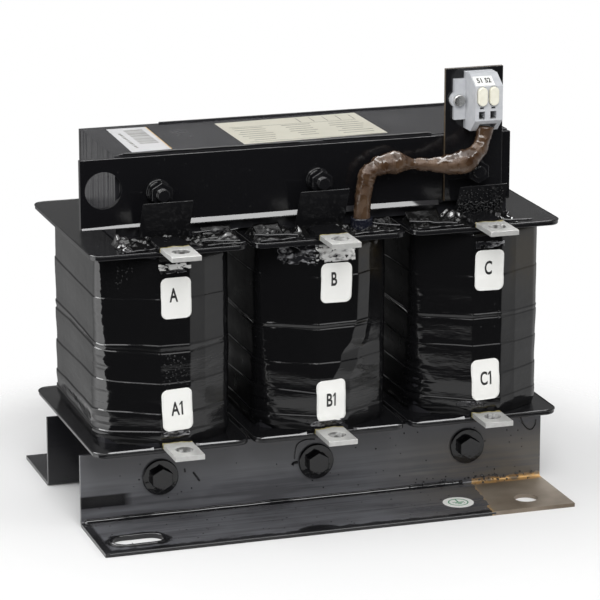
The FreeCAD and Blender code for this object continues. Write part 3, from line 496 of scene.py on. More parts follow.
# Coil wraps. Tape wound in laps over each winding and its leads and soaked in varnish: flat flanks, a
# front of three flats with the leads under the middle one, and a small ledge where a lap ends. The
# laps stand at measured heights in millimetres over the lower flange, as the front shows them.
WRAP_HALF_WIDTH = 33 * MM
WRAP_SHOULDER = 41.4 * MM
WRAP_RIGHT_SHOULDER = 45.3 * MM
WRAP_FRONT = 57.5 * MM
WRAP_WALL = 3 * MM
WRAP_SHOULDER_RADIUS = 8 * MM
LEFT_SHOULDER_ROUND = ((0, 21), (12, 19), (30, 14), (50, 10), (75, 8), (94.5, 5))
LEFT_SHOULDER_OUT = 0.035
WRAP_RIDGE_RADIUS = 3 * MM
LEAD_HALF = 7.5 * MM
LEAD_DRIFT = {"a": 1.6 * MM, "b": 1.0 * MM, "c": 0.8 * MM}
LAP_HEIGHTS = {
    "a": (0, 7.4, 16.2, 31, 46.5, 50.4, 73, 94.5),
    "b": (0, 8, 19.7, 34.2, 51.4, 54.2, 78, 94.5),
    "c": (0, 8.5, 21, 36.1, 50.2, 52, 71, 94.5),
}
RIDGE_WANDER = {
    "a": ((0, 8.5), (94.5, 8.5)),
    "b": ((0, -1), (24, 0), (36, 4.5), (46, 10.5), (56, 13.5), (94.5, 14)),
    "c": ((0, 8), (94.5, 8)),
}
LAP_LEDGE = 0.42 * MM
LEDGE_RISE = 0.42 * MM
TAPE_STEP = 0.95 * MM
FLANK, SLANT, LEAD = (round(length * MM / TAPE_STEP) for length in (70, 25, 15))
MIDDLE = 8
FACING_THE_GAP = 0.93
TAPE_COLOUR = (0.0055, 0.0055, 0.006, 1)
TAPE_ROUGHNESS = 0.11
AMBER_COLOUR = (0.016, 0.012, 0.006, 1)
wrap_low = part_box("coil_wrap_a")[0].z
wrap_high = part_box("coil_wrap_a")[1].z

# Waves in the tape: size in millimetres, density across and density upwards.
SLACK = (0.30, 26, 34)
CREASES = (0.05, 60, 330)
LOW_SLACK = (0.09, 45, 160)
END_CRUMPLE = (0.5, 95, 260)
ROLLED_END = 1.2
TAPE_SINK = 0.4


def wobble(x, y, z):
    """Smooth noise in space, from about -1 to 1."""
    return noise.noise(Vector((x, y, z)))


def smooth_step(value):
    value = min(1.0, max(0.0, value))
    return value * value * (3 - 2 * value)


def along_table(table, place):
    """Read a value off a table of (place, value) pairs, easing from one pair to the next."""
    for (first, low), (second, high) in zip(table, table[1:]):
        if place <= second:
            return low + (high - low) * smooth_step((place - first) / (second - first))
    return table[-1][1]


def coil_plan(phase, height):
    """The coil's outline at a height: the right edge of the leads under the tape wanders there."""
    ridge = along_table(RIDGE_WANDER[phase], height / MM) * MM
    drift = LEAD_DRIFT[phase]
    fuller = 0.16 * max(0.0, ridge - LEAD_HALF)
    early = smooth_step((LEAD_HALF - ridge) / LEAD_HALF)
    front_y = -WRAP_FRONT - 1.1 * MM * early
    ridge_corner = Vector((ridge + drift * 0.4, front_y + fuller))
    shoulder = Vector((WRAP_HALF_WIDTH, -WRAP_RIGHT_SHOULDER))
    usual = ridge_corner.lerp(shoulder, 0.35) + Vector((0.3 * MM, -0.5 * MM))
    bulging = ridge_corner + Vector((10 * MM, 2.6 * MM))
    middle = usual.lerp(bulging, early)
    left_round = along_table(LEFT_SHOULDER_ROUND, height / MM) * MM
    left_out = LEFT_SHOULDER_OUT * left_round
    seed = "abc".index(phase) * 5.9
    left_round *= 1 + 0.3 * wobble(height * 330, 1.7, seed) + 0.32 * wobble(height * 870, 4.1, seed)
    corners = [
        (-WRAP_HALF_WIDTH - left_out, -WRAP_SHOULDER - left_out, left_round),
        (-LEAD_HALF + drift, front_y, WRAP_RIDGE_RADIUS),
        (*ridge_corner, WRAP_RIDGE_RADIUS),
        (*middle, WRAP_RIDGE_RADIUS),
        (*shoulder, WRAP_SHOULDER_RADIUS),
        (WRAP_HALF_WIDTH, WRAP_SHOULDER, WRAP_SHOULDER_RADIUS),
        (LEAD_HALF, WRAP_FRONT, WRAP_RIDGE_RADIUS),
        (-LEAD_HALF, WRAP_FRONT, WRAP_RIDGE_RADIUS),
        (-WRAP_HALF_WIDTH, WRAP_SHOULDER, WRAP_SHOULDER_RADIUS),
    ]
    return rounded_plan(corners, (SLANT, LEAD, MIDDLE, SLANT - MIDDLE, FLANK, SLANT, LEAD, SLANT, FLANK))


def outward(outline, index):
    tangent = (outline[(index + 1) % len(outline)] - outline[index - 1]).normalized()
    return Vector((tangent.y, -tangent.x))


def lap_level(phase, lap, place):
    """The height at which a lap starts at a place round the coil: it wanders a little."""
    laps = LAP_HEIGHTS[phase]
    if lap in (0, len(laps) - 1):
        return laps[lap] * MM
    seed = lap * 5.1 + "abc".index(phase) * 17.7
    wander = 0.9 * wobble(place.x * 22, place.y * 22, seed)
    wander += 0.35 * wobble(place.x * 75, place.y * 75, seed)
    wander += 1.1 * math.sin(place.y * 24 + seed) * smooth_step(abs(place.x) / WRAP_HALF_WIDTH)
    return laps[lap] * MM + wander * MM


def tape_relief(phase, place, height):
    """How far the tape stands in or out: slack between the laps, fine creases and rolled ends."""
    seed = "abc".index(phase) * 7.3

    def waves(size, across, up, shift=seed):
        return size * wobble(place.x * across, place.y * across, height * up + shift)

    edge = min(height, wrap_high - wrap_low - height)
    slack = waves(*SLACK) + waves(*CREASES)
    slack += (1 - smooth_step(height / (30 * MM))) * waves(*LOW_SLACK)
    slack += (1 - smooth_step(edge / (7 * MM))) * waves(*END_CRUMPLE, -seed)
    roll = ROLLED_END * (1 - smooth_step(edge / (4 * MM)))
    return (slack - roll - TAPE_SINK) * MM


def make_wrap(phase):
    """A closed tube of tape whose rows of points follow the laps."""
    centre = COIL_CENTRES[phase]
    laps = LAP_HEIGHTS[phase]
    nominal = coil_plan(phase, 0)
    count = len(nominal)
    vertices = []
    rows = 0
    ledges = set()
    for lap, (start, end) in enumerate(zip(laps, laps[1:])):
        ledges.add(rows - 1)
        steps = max(2, round((end - start) * MM / TAPE_STEP))
        random.seed(f"lap {phase} {lap}")
        slanting = random.uniform(0.9, 1.2)
        for share in [0] + [(step + 0.5) / steps for step in range(steps)] + [1]:
            plan = coil_plan(phase, (start + (end - start) * share) * MM)
            for index, place in enumerate(plan):
                low = lap_level(phase, lap, nominal[index]) + (LEDGE_RISE if lap else 0)
                high = lap_level(phase, lap + 1, nominal[index])
                height = low + (high - low) * share
                stand = tape_relief(phase, nominal[index], height)
                steeper = 1 - 0.5 * smooth_step((nominal[index].x - 8 * MM) / (8 * MM))
                if lap < len(laps) - 2:
                    stand += LAP_LEDGE * slanting * steeper * smooth_step(share * 1.4 - 0.2)
                out = outward(plan, index) * stand
                vertices.append((centre + place.x + out.x, place.y + out.y, wrap_low + height))
            rows += 1
    faces = []
    for row in range(rows - 1):
        for index in range(count):
            beside = (index + 1) % count
            low, high = row * count, (row + 1) * count
            faces.append((low + index, low + beside, high + beside, high + index))
    low = len(vertices)
    for height in (wrap_low, wrap_high):
        for index, place in enumerate(nominal):
            inner = place - outward(nominal, index) * WRAP_WALL
            vertices.append((centre + inner.x, inner.y, height))
    top, high = (rows - 1) * count, low + count
    for index in range(count):
        beside = (index + 1) % count
        faces.append((low + index, low + beside, beside, index))
        faces.append((top + index, top + beside, high + beside, high + index))
        faces.append((low + beside, low + index, high + index, high + beside))
    made = mesh_object(f"coil_tape_{phase}", vertices, faces)
    made.data.materials.append(tape_finish)
    made.data.materials.append(gap_shade_finish)
    # Faces that look across a gap at a neighbouring coil take the second finish, which is painted shade.
    for face in made.data.polygons[: (rows - 1) * count]:
        face.use_smooth = face.index // count not in ledges
        towards_gap = face.normal.x * (face.center.x - centre) > 0 and abs(face.normal.x) > FACING_THE_GAP
        facing_a_coil = abs(centre) < MM or face.normal.x * centre < 0
        face.material_index = int(towards_gap and facing_a_coil)
    return made


tape_finish, tree = new_finish("varnished_tape", TAPE_COLOUR, TAPE_ROUGHNESS)
raised = bump(tree, noise_on(tree, 620, 2.0, 0.6, (0.2, 0.2, 1)), 0.00007)
raised = bump(tree, noise_on(tree, 150, 2.0, 0.5), 0.00007, raised)
clouds = noise_on(tree, 32, 4.0, 0.62)
at_x, at_y, at_z = axes(tree, object_place(tree))
amber = 0.0
for low, high, start in ((13.5 * MM, 30 * MM, 104 * MM), (92 * MM, 130 * MM, 96 * MM)):
    here = ramp(tree, at_z, start, start + 26 * MM)
    here = reckon(tree, "MULTIPLY", here, ramp(tree, at_x, low, low + 3 * MM))
    here = reckon(tree, "MULTIPLY", here, ramp(tree, at_x, high, high - 2 * MM))
    amber = reckon(tree, "MAXIMUM", here, amber)
amber = reckon(tree, "MULTIPLY", amber, ramp(tree, clouds, 0.42, 0.6))
shade(
    tree,
    Normal=raised,
    Roughness=ramp(tree, clouds, 0.35, 0.7, 0.08, 0.16),
    Base_Color=blend(tree, amber, TAPE_COLOUR, AMBER_COLOUR),
)
# Painted shade for the gaps between the coils: a copy of the tape with its reflection all but taken away.
gap_shade_finish, tree = new_finish("tape_in_the_gaps_painted_shade", TAPE_COLOUR, 0.3, Specular_IOR_Level=0.02)
shade(tree, Roughness=ramp(tree, noise_on(tree, 90, 3.0), 0.3, 0.7, 0.25, 0.4))
wraps = {}
for phase in "abc":
    wraps[phase] = make_wrap(phase)
    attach(wraps[phase], "base")
    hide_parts(f"coil_wrap_{phase}")

# Terminal labels. Soft vinyl labels with round corners, stuck on the tape over the leads, each with
# its terminal's mark printed in black. Places are (left, right, bottom, top) in millimetres, then come
# the lean in degrees and how far the mark stands off the label's middle.
LABELS = {
    "A": ("a", -85.1, -70.1, 108.0, 128.1, 0.5, (-1.3, 1.2)),
    "A1": ("a", -85.1, -69.9, 52.4, 73.2, 2.5, (0.4, 0.2)),
    "B": ("b", -5.3, 10.6, 109.0, 128.7, -1.5, (-1.4, 1.6)),
    "B1": ("b", -7.5, 7.7, 49.6, 70.6, 1.0, (0.0, 0.2)),
    "C": ("c", 74.0, 89.3, 108.6, 128.8, -1.5, (-0.7, 0.9)),
    "C1": ("c", 73.0, 87.6, 53.0, 73.6, 2.0, (0.5, 0.2)),
}
MARK_LIFT = 0.06 * MM
LABEL_RADIUS = 3 * MM
LABEL_SHEET = 0.15 * MM
LABEL_STAND = 0.4 * MM
LETTER_HEIGHT = 6.5 * MM
LETTER_NARROWING = 0.62
LETTER_FATTENING = 0.22 * MM
CAPITAL_SHARE = 0.7
LONGEST_EDGE = 1.0 * MM
FLAG_OF_ONE = ((-0.16, 0), (-0.16, -0.17), (-0.42, -0.33), (-0.42, -0.2))


def two_tone(name, colour, roughness, tones, scale, detail, reach=(0.0, 1.0), **sockets):
    """A finish that wanders between two tones; reach says how much of the noise does it."""
    material, tree = new_finish(name, colour, roughness, **sockets)
    shade(tree, Base_Color=blend(tree, ramp(tree, noise_on(tree, scale, detail), *reach), *tones))
    return material


def front_surface(piece):
    """A function that gives how far forward a piece's front lies at (x, z)."""
    piece.data.calc_loop_triangles()
    corners = [vertex.co.copy() for vertex in piece.data.vertices]
    triangles = [tuple(triangle.vertices) for triangle in piece.data.loop_triangles]
    tree = BVHTree.FromPolygons(corners, triangles)

    def depth(x, z):
        found = tree.ray_cast(Vector((x, -1, z)), Vector((0, 1, 0)))[0]
        return found.y if found else None

    return depth


def rounded_sheet(width, height, radius, rows=24, columns=12):
    """Rows of (across, up) points that fill a rectangle with round corners, about its middle."""
    grid = []
    for row in range(rows + 1):
        up = -height / 2 * math.cos(math.pi * row / rows)
        inset = max(0.0, abs(up) - height / 2 + radius)
        reach = width / 2 - radius + math.sqrt(max(0.0, radius ** 2 - inset ** 2))
        grid.append([(reach * (2 * step / columns - 1), up) for step in range(columns + 1)])
    return grid


def sheet_between(name, front, back, keep=None, smooth=True):
    """A closed sheet between two grids of points; keep(row, column) says which cells are there."""
    rows, columns = len(front), len(front[0])
    cells = [(row, column) for row in range(rows - 1) for column in range(columns - 1)]
    kept = {cell for cell in cells if keep is None or keep(*cell)}
    shift = rows * columns
    faces = []
    for row, column in sorted(kept):
        corner = row * columns + column
        ring = (corner, corner + 1, corner + columns + 1, corner + columns)
        faces.append(ring)
        faces.append(tuple(index + shift for index in reversed(ring)))
        beyond = ((row - 1, column), (row, column + 1), (row + 1, column), (row, column - 1))
        for side, neighbour in enumerate(beyond):
            if neighbour not in kept:
                first, second = ring[side], ring[(side + 1) % 4]
                faces.append((second, first, first + shift, second + shift))
    points = [Vector(point) for grid in (front, back) for row in grid for point in row]
    made = mesh_object(name, points, faces, smooth)
    work = bmesh.new()
    work.from_mesh(made.data)
    bmesh.ops.delete(work, geom=[vertex for vertex in work.verts if not vertex.link_faces], context="VERTS")
    bmesh.ops.recalc_face_normals(work, faces=work.faces)
    work.to_mesh(made.data)
    work.free()
    return made


def moved(grid, *shift):
    """A grid of points, shifted."""
    return [[Vector(point) + Vector(shift) for point in row] for row in grid]


def lettering(name, words, height, narrowing, thickness):
    """Printed words as a fine flat mesh about the origin, in the X and Y plane."""
    curve = bpy.data.curves.new(name, "FONT")
    curve.body = words
    curve.size = height / CAPITAL_SHARE
    curve.offset = thickness
    curve.align_x = "CENTER"
    curve.align_y = "CENTER"
    made = baked(new_object(name, curve), name)
    work = bmesh.new()
    work.from_mesh(made.data)
    bmesh.ops.remove_doubles(work, verts=work.verts, dist=MERGING_DISTANCE)
    bmesh.ops.triangulate(work, faces=work.faces)
    for turn in range(4):
        long_edges = [edge for edge in work.edges if edge.calc_length() > LONGEST_EDGE]
        if long_edges:
            bmesh.ops.subdivide_edges(work, edges=long_edges, cuts=1)
            bmesh.ops.triangulate(work, faces=work.faces)
    if words.endswith("1"):
        right = max(vertex.co.x for vertex in work.verts)
        top = max(vertex.co.y for vertex in work.verts)
        work.faces.new([work.verts.new((right + x * height, top + y * height, 0)) for x, y in FLAG_OF_ONE])
    bmesh.ops.recalc_face_normals(work, faces=work.faces)
    work.to_mesh(made.data)
    work.free()
    for vertex in made.data.vertices:
        vertex.co.x *= narrowing
    return made


label_tones = ((0.88, 0.88, 0.855, 1), (0.82, 0.82, 0.79, 1))
label_finish = two_tone("label_vinyl", (0.86, 0.86, 0.83, 1), 0.34, label_tones, 120, 3.0)
tree = label_finish.node_tree
shade(tree, Normal=bump(tree, noise_on(tree, 900, 2.0), 0.00001))
ink_finish, tree = new_finish("label_ink", (0.02, 0.02, 0.02, 1), 0.45)
shade(tree, Roughness=ramp(tree, noise_on(tree, 700, 2.0), 0.3, 0.7, 0.35, 0.6))
for mark, (phase, left, right, low, high, lean, mark_shift) in LABELS.items():
    depth = front_surface(wraps[phase])
    centre_x, centre_z = (left + right) / 2 * MM, (low + high) / 2 * MM
    leaning = Matrix.Rotation(math.radians(lean), 2)

    def on_tape(across, up):
        """The label's surface: it evens out the tape's creases under it."""
        place = leaning @ Vector((across, up))
        x, z = centre_x + place.x, centre_z + place.y
        around = [depth(x + side * MM, z + rise * MM) for side in (-2, 0, 2) for rise in (-3, 0, 3)]
        return Vector((x, min(sum(around) / len(around), depth(x, z)) - LABEL_STAND, z))

    flat = rounded_sheet((right - left) * MM, (high - low) * MM, LABEL_RADIUS)
    front = [[on_tape(*point) for point in row] for row in flat]
    label = fixed(sheet_between(f"label_{mark}", front, moved(front, 0, LABEL_SHEET, 0)), label_finish)
    printed = lettering(f"mark_{mark}", mark, LETTER_HEIGHT, LETTER_NARROWING, LETTER_FATTENING)
    on_label = front_surface(label)
    for vertex in printed.data.vertices:
        place = leaning @ (Vector(vertex.co[:2]) + Vector(mark_shift) * MM)
        x, z = centre_x + place.x, centre_z + place.y
        vertex.co = Vector((x, on_label(x, z) - MARK_LIFT, z))
    fixed(printed, ink_finish)

# Dried varnish on the tape. Where the leads leave the tape under the tabs the varnish set in ragged
# skins. Places are (left, right, bottom, top) in millimetres, then how much of the skin is there and
# which of the two kinds it is. Kinds are (dark, light, stretch, noise at dark, noise at light).
SKINS = {
    "skin_under_a": ("a", -86.0, -70.0, 131.9, 134.9, 0.0, "pale"),
    "skin_fold_a": ("a", -85.0, -71.0, 130.2, 131.8, 0.02, "grey"),
    "skin_under_b": ("b", -7.5, 12.5, 129.4, 138.0, 0.03, "pale"),
    "skin_beside_b": ("b", -24.0, -6.0, 128.0, 138.0, -0.14, "grey"),
    "skin_under_c": ("c", 74.5, 89.5, 130.0, 133.4, 0.1, "grey"),
    "skin_over_a1": ("a", -84.5, -71.5, 49.2, 52.2, 0.1, "grey"),
    "skin_over_b1": ("b", -12.0, 8.0, 47.2, 50.4, 0.06, "grey"),
    "skin_over_c1": ("c", 66.5, 79.5, 49.4, 52.4, 0.1, "grey"),
}
SKIN_KINDS = {
    "pale": ((0.10, 0.10, 0.10, 1), (0.60, 0.60, 0.59, 1), (0.5, 1, 1), 0.34, 0.5),
    "grey": ((0.012, 0.012, 0.014, 1), (0.26, 0.26, 0.27, 1), (0.4, 1, 1), 0.5, 0.66),
}
SKIN_CELL = 0.45 * MM
SKIN_SINK = 0.3 * MM
skin_finishes = {}
for kind, (dark, light, stretch, low, high) in SKIN_KINDS.items():
    skin_finishes[kind], tree = new_finish(f"dried_varnish_{kind}", light, 0.14)
    mottle = noise_on(tree, 520, 3.0, 0.5, stretch)
    tone = blend(tree, ramp(tree, mottle, low, high), dark, light)
    shade(tree, Base_Color=tone, Normal=bump(tree, mottle, 0.0003))
for order, (name, (phase, left, right, low, high, share, kind)) in enumerate(SKINS.items()):
    depth = front_surface(wraps[phase])
    across = max(2, round((right - left) * MM / SKIN_CELL))
    up = max(2, round((high - low) * MM / SKIN_CELL))
    front, back = [], []
    for z in spaced(low, high, up):
        line = []
        for x in spaced(left, right, across):
            lump = wobble(x * MM * 150, z * MM * 650, order * 3.3)
            line.append(Vector((x * MM, depth(x * MM, z * MM) - (0.2 + 0.9 * abs(lump)) * MM, z * MM)))
        front.append(line)
        back.append([Vector((point.x, depth(point.x, point.z) + SKIN_SINK, point.z)) for point in line])

    def is_there(row, column):
        side = min(column, across - 1 - column) / across
        end = min(row, up - 1 - row) / up
        value = wobble(column * 0.16, row * 0.3, order * 9.1)
        value += 0.35 * wobble(column * 0.55, row * 0.8, order * 4.7)
        return value + share + 1.2 * min(0.25, side) + 0.8 * min(0.25, end) > 0.12

    fixed(sheet_between(name, front, back, is_there), skin_finishes[kind])

# Feet. Bent steel angles dipped in the same varnish, which ran and set in streaks, drips and beads.
# The front one's greys, its brownish right part and its streaks are painted sheen, standing in for the
# pale floor and surround mirrored in its black varnish; the streaks follow the varnish's runs in part.
# Its right end was kept bare for the earth connection and shows brownish plated steel.
STEEL_COLOUR = (0.013, 0.013, 0.015, 1)
STEEL_ROUGHNESS = 0.2
FOOT_STRETCH = (0.35, 1, 1)
FOOT_SHEEN_GREY = (0.118, 0.120, 0.130, 1)
FOOT_BROWN_SHEEN = (0.100, 0.090, 0.078, 1)
FOOT_WEB_SHEEN = (0.075, 0.075, 0.082, 1)
FOOT_STREAKS_AND_SHEEN = (0.07, 0.07, 0.076, 1)
FOOT_BLACK = (0.012, 0.012, 0.013, 1)
FOOT_DARK_PATCH = (0.007, 0.007, 0.008, 1)
BARE_COLOUR = (0.125, 0.096, 0.068, 1)
BARE_LIGHT = (0.25, 0.21, 0.165, 1)
BARE_ROUGHNESS = 0.42
BARE_METALLIC = 0.35
BARE_START = 79.5 * MM
BARE_SLANT = -0.137
BARE_SLANT_FROM = 56 * MM
GOLDEN_EDGE = (0.50, 0.30, 0.11, 1)
RAGGED_EDGE = 1.2 * MM
WEB_FRONT = -34 * MM
FOOT_TOP = 2 * MM


def distance_from(tree, place, x, y, wide=1.0, deep=1.0):
    """How far a place lies from an upright line, in shares of an oval's half sizes."""
    inputs = {0: place, 1: (1 / wide, 1 / deep, 0), 2: (-x / wide, -y / deep, 0)}
    scaled = first_out(tree, "ShaderNodeVectorMath", inputs, operation="MULTIPLY_ADD")
    return add_node(tree, "ShaderNodeVectorMath", {0: scaled}, operation="LENGTH").outputs["Value"]


steel_finish = varnished("varnished_steel", STEEL_COLOUR, STEEL_ROUGHNESS, 0.00025, stretch=FOOT_STRETCH)
foot_finish = varnished("front_foot_varnish_painted_sheen", FOOT_SHEEN_GREY, STEEL_ROUGHNESS, 0.0001, stretch=FOOT_STRETCH)
tree = foot_finish.node_tree
place = object_place(tree)
at_x, at_y, at_z = axes(tree, place)
# Painted sheen: a grey top, a brownish right part, another tone up the web and streaks lower on it.
painted = blend(tree, ramp(tree, at_x, 25 * MM, 85 * MM), FOOT_SHEEN_GREY, FOOT_BROWN_SHEEN)
painted = blend(tree, ramp(tree, at_z, 20 * MM, 32 * MM), painted, FOOT_WEB_SHEEN)
level_streaks = noise_on(tree, 430, 3.0, 0.6, (0.03, 1, 1))
clouds = noise_on(tree, 55, 3.0, 0.6, (0.4, 1, 1))
streaks = ramp(tree, reckon(tree, "ADD", level_streaks, clouds), 1.12, 0.84)
streaks = reckon(tree, "MULTIPLY", streaks, ramp(tree, at_z, 26 * MM, 10 * MM, 0.15, 1.0))
painted = blend(tree, streaks, painted, FOOT_STREAKS_AND_SHEEN)
ragged = noise_on(tree, 160, 3.0)
edge_shift = ramp(tree, ragged, 0.3, 0.7, -RAGGED_EDGE, RAGGED_EDGE)
by_edge = ramp(tree, reckon(tree, "ADD", at_y, edge_shift), -75.6 * MM, -77.2 * MM)
on_top = ramp(tree, at_z, 2.8 * MM, 2.3 * MM)
by_end = reckon(tree, "MULTIPLY", ramp(tree, at_x, -115.2 * MM, -116.8 * MM), on_top)
along_slot = reckon(tree, "ABSOLUTE", reckon(tree, "ADD", at_x, 100 * MM))
beyond = reckon(tree, "MAXIMUM", reckon(tree, "SUBTRACT", along_slot, 6.5 * MM), 0.0)
aside = reckon(tree, "ADD", at_y, 65 * MM)
squares = [reckon(tree, "MULTIPLY", way, way) for way in (beyond, aside)]
from_slot = reckon(tree, "SQRT", reckon(tree, "ADD", *squares))
by_slot = ramp(tree, reckon(tree, "ADD", from_slot, edge_shift), 10.2 * MM, 8.8 * MM)
blotch = ramp(tree, distance_from(tree, place, -12.5 * MM, -81 * MM, 13 * MM, 10 * MM), 1.0, 0.88)
# Where the foot shows its black varnish without painted sheen: along the flange's front edge, at the left
# end, round the slot and in a blotch.
black_places = by_edge
for black_place in (by_end, by_slot, blotch):
    black_places = reckon(tree, "MAXIMUM", black_places, black_place)
painted = blend(tree, black_places, painted, FOOT_BLACK)
# A dark rectangle on the left part of the web, from about 9 to 15.5 mm up.
dark_patch = ramp(tree, at_x, -94 * MM, -98.5 * MM)
for low, high in ((8.8 * MM, 9.6 * MM), (15.7 * MM, 15.0 * MM)):
    dark_patch = reckon(tree, "MULTIPLY", dark_patch, ramp(tree, at_z, low, high))
painted = blend(tree, dark_patch, painted, FOOT_DARK_PATCH)
slanting = reckon(tree, "MULTIPLY_ADD", at_y, BARE_SLANT, BARE_SLANT * BARE_SLANT_FROM)
across = reckon(tree, "ADD", reckon(tree, "ADD", at_x, edge_shift), slanting)
low_down = ramp(tree, reckon(tree, "ADD", at_z, edge_shift), 4.2 * MM, 3.4 * MM)
bare = reckon(tree, "MULTIPLY", ramp(tree, across, BARE_START, BARE_START + 0.4 * MM), low_down)
plated = blend(tree, ramp(tree, noise_on(tree, 34, 4.0), 0.35, 0.62), BARE_COLOUR, BARE_LIGHT)
beside_varnish = ramp(tree, across, BARE_START + 1.7 * MM, BARE_START + 0.3 * MM)
golden = reckon(tree, "MAXIMUM", beside_varnish, ramp(tree, at_y, -38.4 * MM, -37.2 * MM))
golden = reckon(tree, "MULTIPLY", golden, ramp(tree, ragged, 0.4, 0.55))
plated = blend(tree, golden, plated, GOLDEN_EDGE)
shine = first_out(tree, "ShaderNodeMix", {0: bare, 2: led_in(tree, "Roughness"), 3: BARE_ROUGHNESS})
shade(
    tree,
    Base_Color=blend(tree, bare, painted, plated),
    Roughness=shine,
    Metallic=reckon(tree, "MULTIPLY", bare, BARE_METALLIC),
)
softened("front_foot_angle", 0.7 * MM, foot_finish, segments=3)
softened("rear_foot_angle", 0.7 * MM, steel_finish, segments=3)

# Varnish on the front foot. It filled the bend with a fillet, hung as a bead from the front edge and
# round the slot, and ran down the web in drips. Drips are a radius and (x, z) points on the web, and
# slot rims are the slots' middles, all in millimetres.
FILLET_RADIUS = 2.0 * MM
FILLET_START = -118.4 * MM
FILLET_END = 78 * MM
FILLET_SINK = 0.3 * MM
DRIPS = {
    "drip_worm": (0.5, ((-63.2, 22.6), (-61.8, 20.5), (-60.0, 17.8))),
    "drip_mark": (0.4, ((-67.6, 24.8), (-67.3, 23.0))),
    "drip_loop_b": (0.3, ((-11.0, 24.0), (-10.8, 27.5), (-9.4, 31.6), (-5.3, 33.4), (-0.4, 33.2))),
    "drip_tail_b": (0.7, ((-12.2, 21.0), (-11.3, 22.0), (-9.4, 22.2))),
    "drip_loop_c": (
        0.35,
        ((108.8, 35.0), (110.2, 31.0), (112.4, 28.0), (115.0, 27.0), (117.0, 29.2), (117.4, 32.0)),
    ),
}
SLOT_RIMS = {"front_slot_rim": (-100, -65), "rear_slot_rim": (100, 65)}
fillet_front, fillet_back = [], []
for turn in spaced(0, math.pi / 2, 6):
    front, back = [], []
    for x in spaced(FILLET_START, FILLET_END, 99):
        radius = FILLET_RADIUS * (1 + 0.22 * wobble(x * 70, 3.1, 0))
        y = WEB_FRONT - radius + radius * math.cos(turn)
        arc = Vector((x, y, FOOT_TOP + radius - radius * math.sin(turn)))
        front.append(arc)
        back.append(arc.lerp(Vector((x, WEB_FRONT + FILLET_SINK, FOOT_TOP - FILLET_SINK)), 0.85))
    fillet_front.append(front)
    fillet_back.append(back)
fixed(sheet_between("bend_fillet", fillet_front, fillet_back), bead_finish)
for name, (radius, line) in DRIPS.items():
    path = [(x * MM, WEB_FRONT - 0.1 * MM, z * MM) for x, z in line]
    by_rule(bead_rule, path_object(path), name, bead_finish, Radius=radius * MM, Step=0.5 * MM)
foot_edge = [((-118 + 4 * step) * MM, -79.7 * MM, 1.25 * MM) for step in range(50)]
by_rule(bead_rule, path_object(foot_edge), "foot_edge_bead", bead_finish, Radius=0.65 * MM)
for name, (x, y) in SLOT_RIMS.items():
    plan = rounded_plan(oblong(13.4, 6.9, 6.8), (8, 2, 8, 2))
    path = [((x + point.x) * MM, (y + point.y) * MM, FOOT_TOP - 0.1 * MM) for point in plan]
    by_rule(bead_rule, path_object(path, True), name, bead_finish, Radius=0.85 * MM, Wander=0.2 * MM)

# Varnish specks. Small drops that spattered and set on the flat faces, thicker near the nuts and on
# the flap of phase C. A patch is its corners in millimetres, or the phase and the edges of a part of a
# coil's front, then the number of drops and the size of the largest in millimetres.
DROP_PATCHES = {
    "specks_bar": ([(-116, -36, 152), (64, -36, 152), (64, -36, 181), (-116, -36, 181)], 55, 0.35),
    "specks_web": ([(-117, -34, 5), (117, -34, 5), (117, -34, 35), (-117, -34, 35)], 60, 0.5),
    "specks_foot": ([(-117, -78, 2), (72, -78, 2), (72, -36, 2), (-117, -36, 2)], 60, 0.6),
    "specks_foot_edge": ([(40, -80, 2), (76, -80, 2), (76, -76, 2), (40, -76, 2)], 40, 0.5),
    "specks_bend": ([(50, -37, 2), (117, -37, 2), (117, -34.2, 5.5), (50, -34.2, 5.5)], 60, 0.7),
}
COIL_DROPS = {
    "specks_coil_a": ("a", (-84, -72, 75, 90), 45, 0.65),
    "specks_coil_a_corner": ("a", (-104, -97, 122, 133), 14, 0.5),
    "specks_coil_b": ("b", (17, 18.5, 66, 84), 26, 0.5),
    "specks_coil_c": ("c", (76, 88, 80, 104), 12, 0.45),
}
PATCH_CELLS = 6


def patch_on(piece, left, right, low, high):
    """A patch of a piece's front, between edges in millimetres, for drops to lie on."""
    depth = front_surface(piece)
    ups, acrosses = spaced(low, high, PATCH_CELLS), spaced(left, right, PATCH_CELLS)
    points = [(x * MM, depth(x * MM, z * MM), z * MM) for z in ups for x in acrosses]
    wide = PATCH_CELLS + 1
    corners = [wide * row + column for row in range(PATCH_CELLS) for column in range(PATCH_CELLS)]
    faces = [(corner, corner + 1, corner + wide + 1, corner + wide) for corner in corners]
    return mesh_object("patch", points, faces)


usual_sizes = {"Count": 50, "Smallest": (0.00015,) * 3, "Largest": (0.0005, 0.0005, 0.0003), "Seed": 3}
drop_rule, given = new_rule("varnish drops", usual_sizes)
tree = drop_rule
areas = add_node(tree, "GeometryNodeAttributeStatistic", {"Geometry": given["Base"]}, domain="FACE")
fill(tree, areas, {"Attribute": first_out(tree, "GeometryNodeInputMeshFaceArea")})
thick = reckon(tree, "DIVIDE", given["Count"], areas.outputs["Sum"])
scattered = add_node(
    tree,
    "GeometryNodeDistributePointsOnFaces",
    {"Mesh": given["Base"], "Density": thick, "Seed": given["Seed"]},
).outputs
drop = first_out(tree, "GeometryNodeMeshIcoSphere", {"Radius": 1.0, "Subdivisions": 2})
spread_sizes = {0: given["Smallest"], 1: given["Largest"], "Seed": given["Seed"]}
spread_sizes = first_out(tree, "FunctionNodeRandomValue", spread_sizes, data_type="FLOAT_VECTOR")
placed = {"Points": scattered["Points"], "Rotation": scattered["Rotation"]}
placed |= {"Instance": drop, "Scale": spread_sizes}
end_rule(tree, given, first_out(tree, "GeometryNodeInstanceOnPoints", placed))


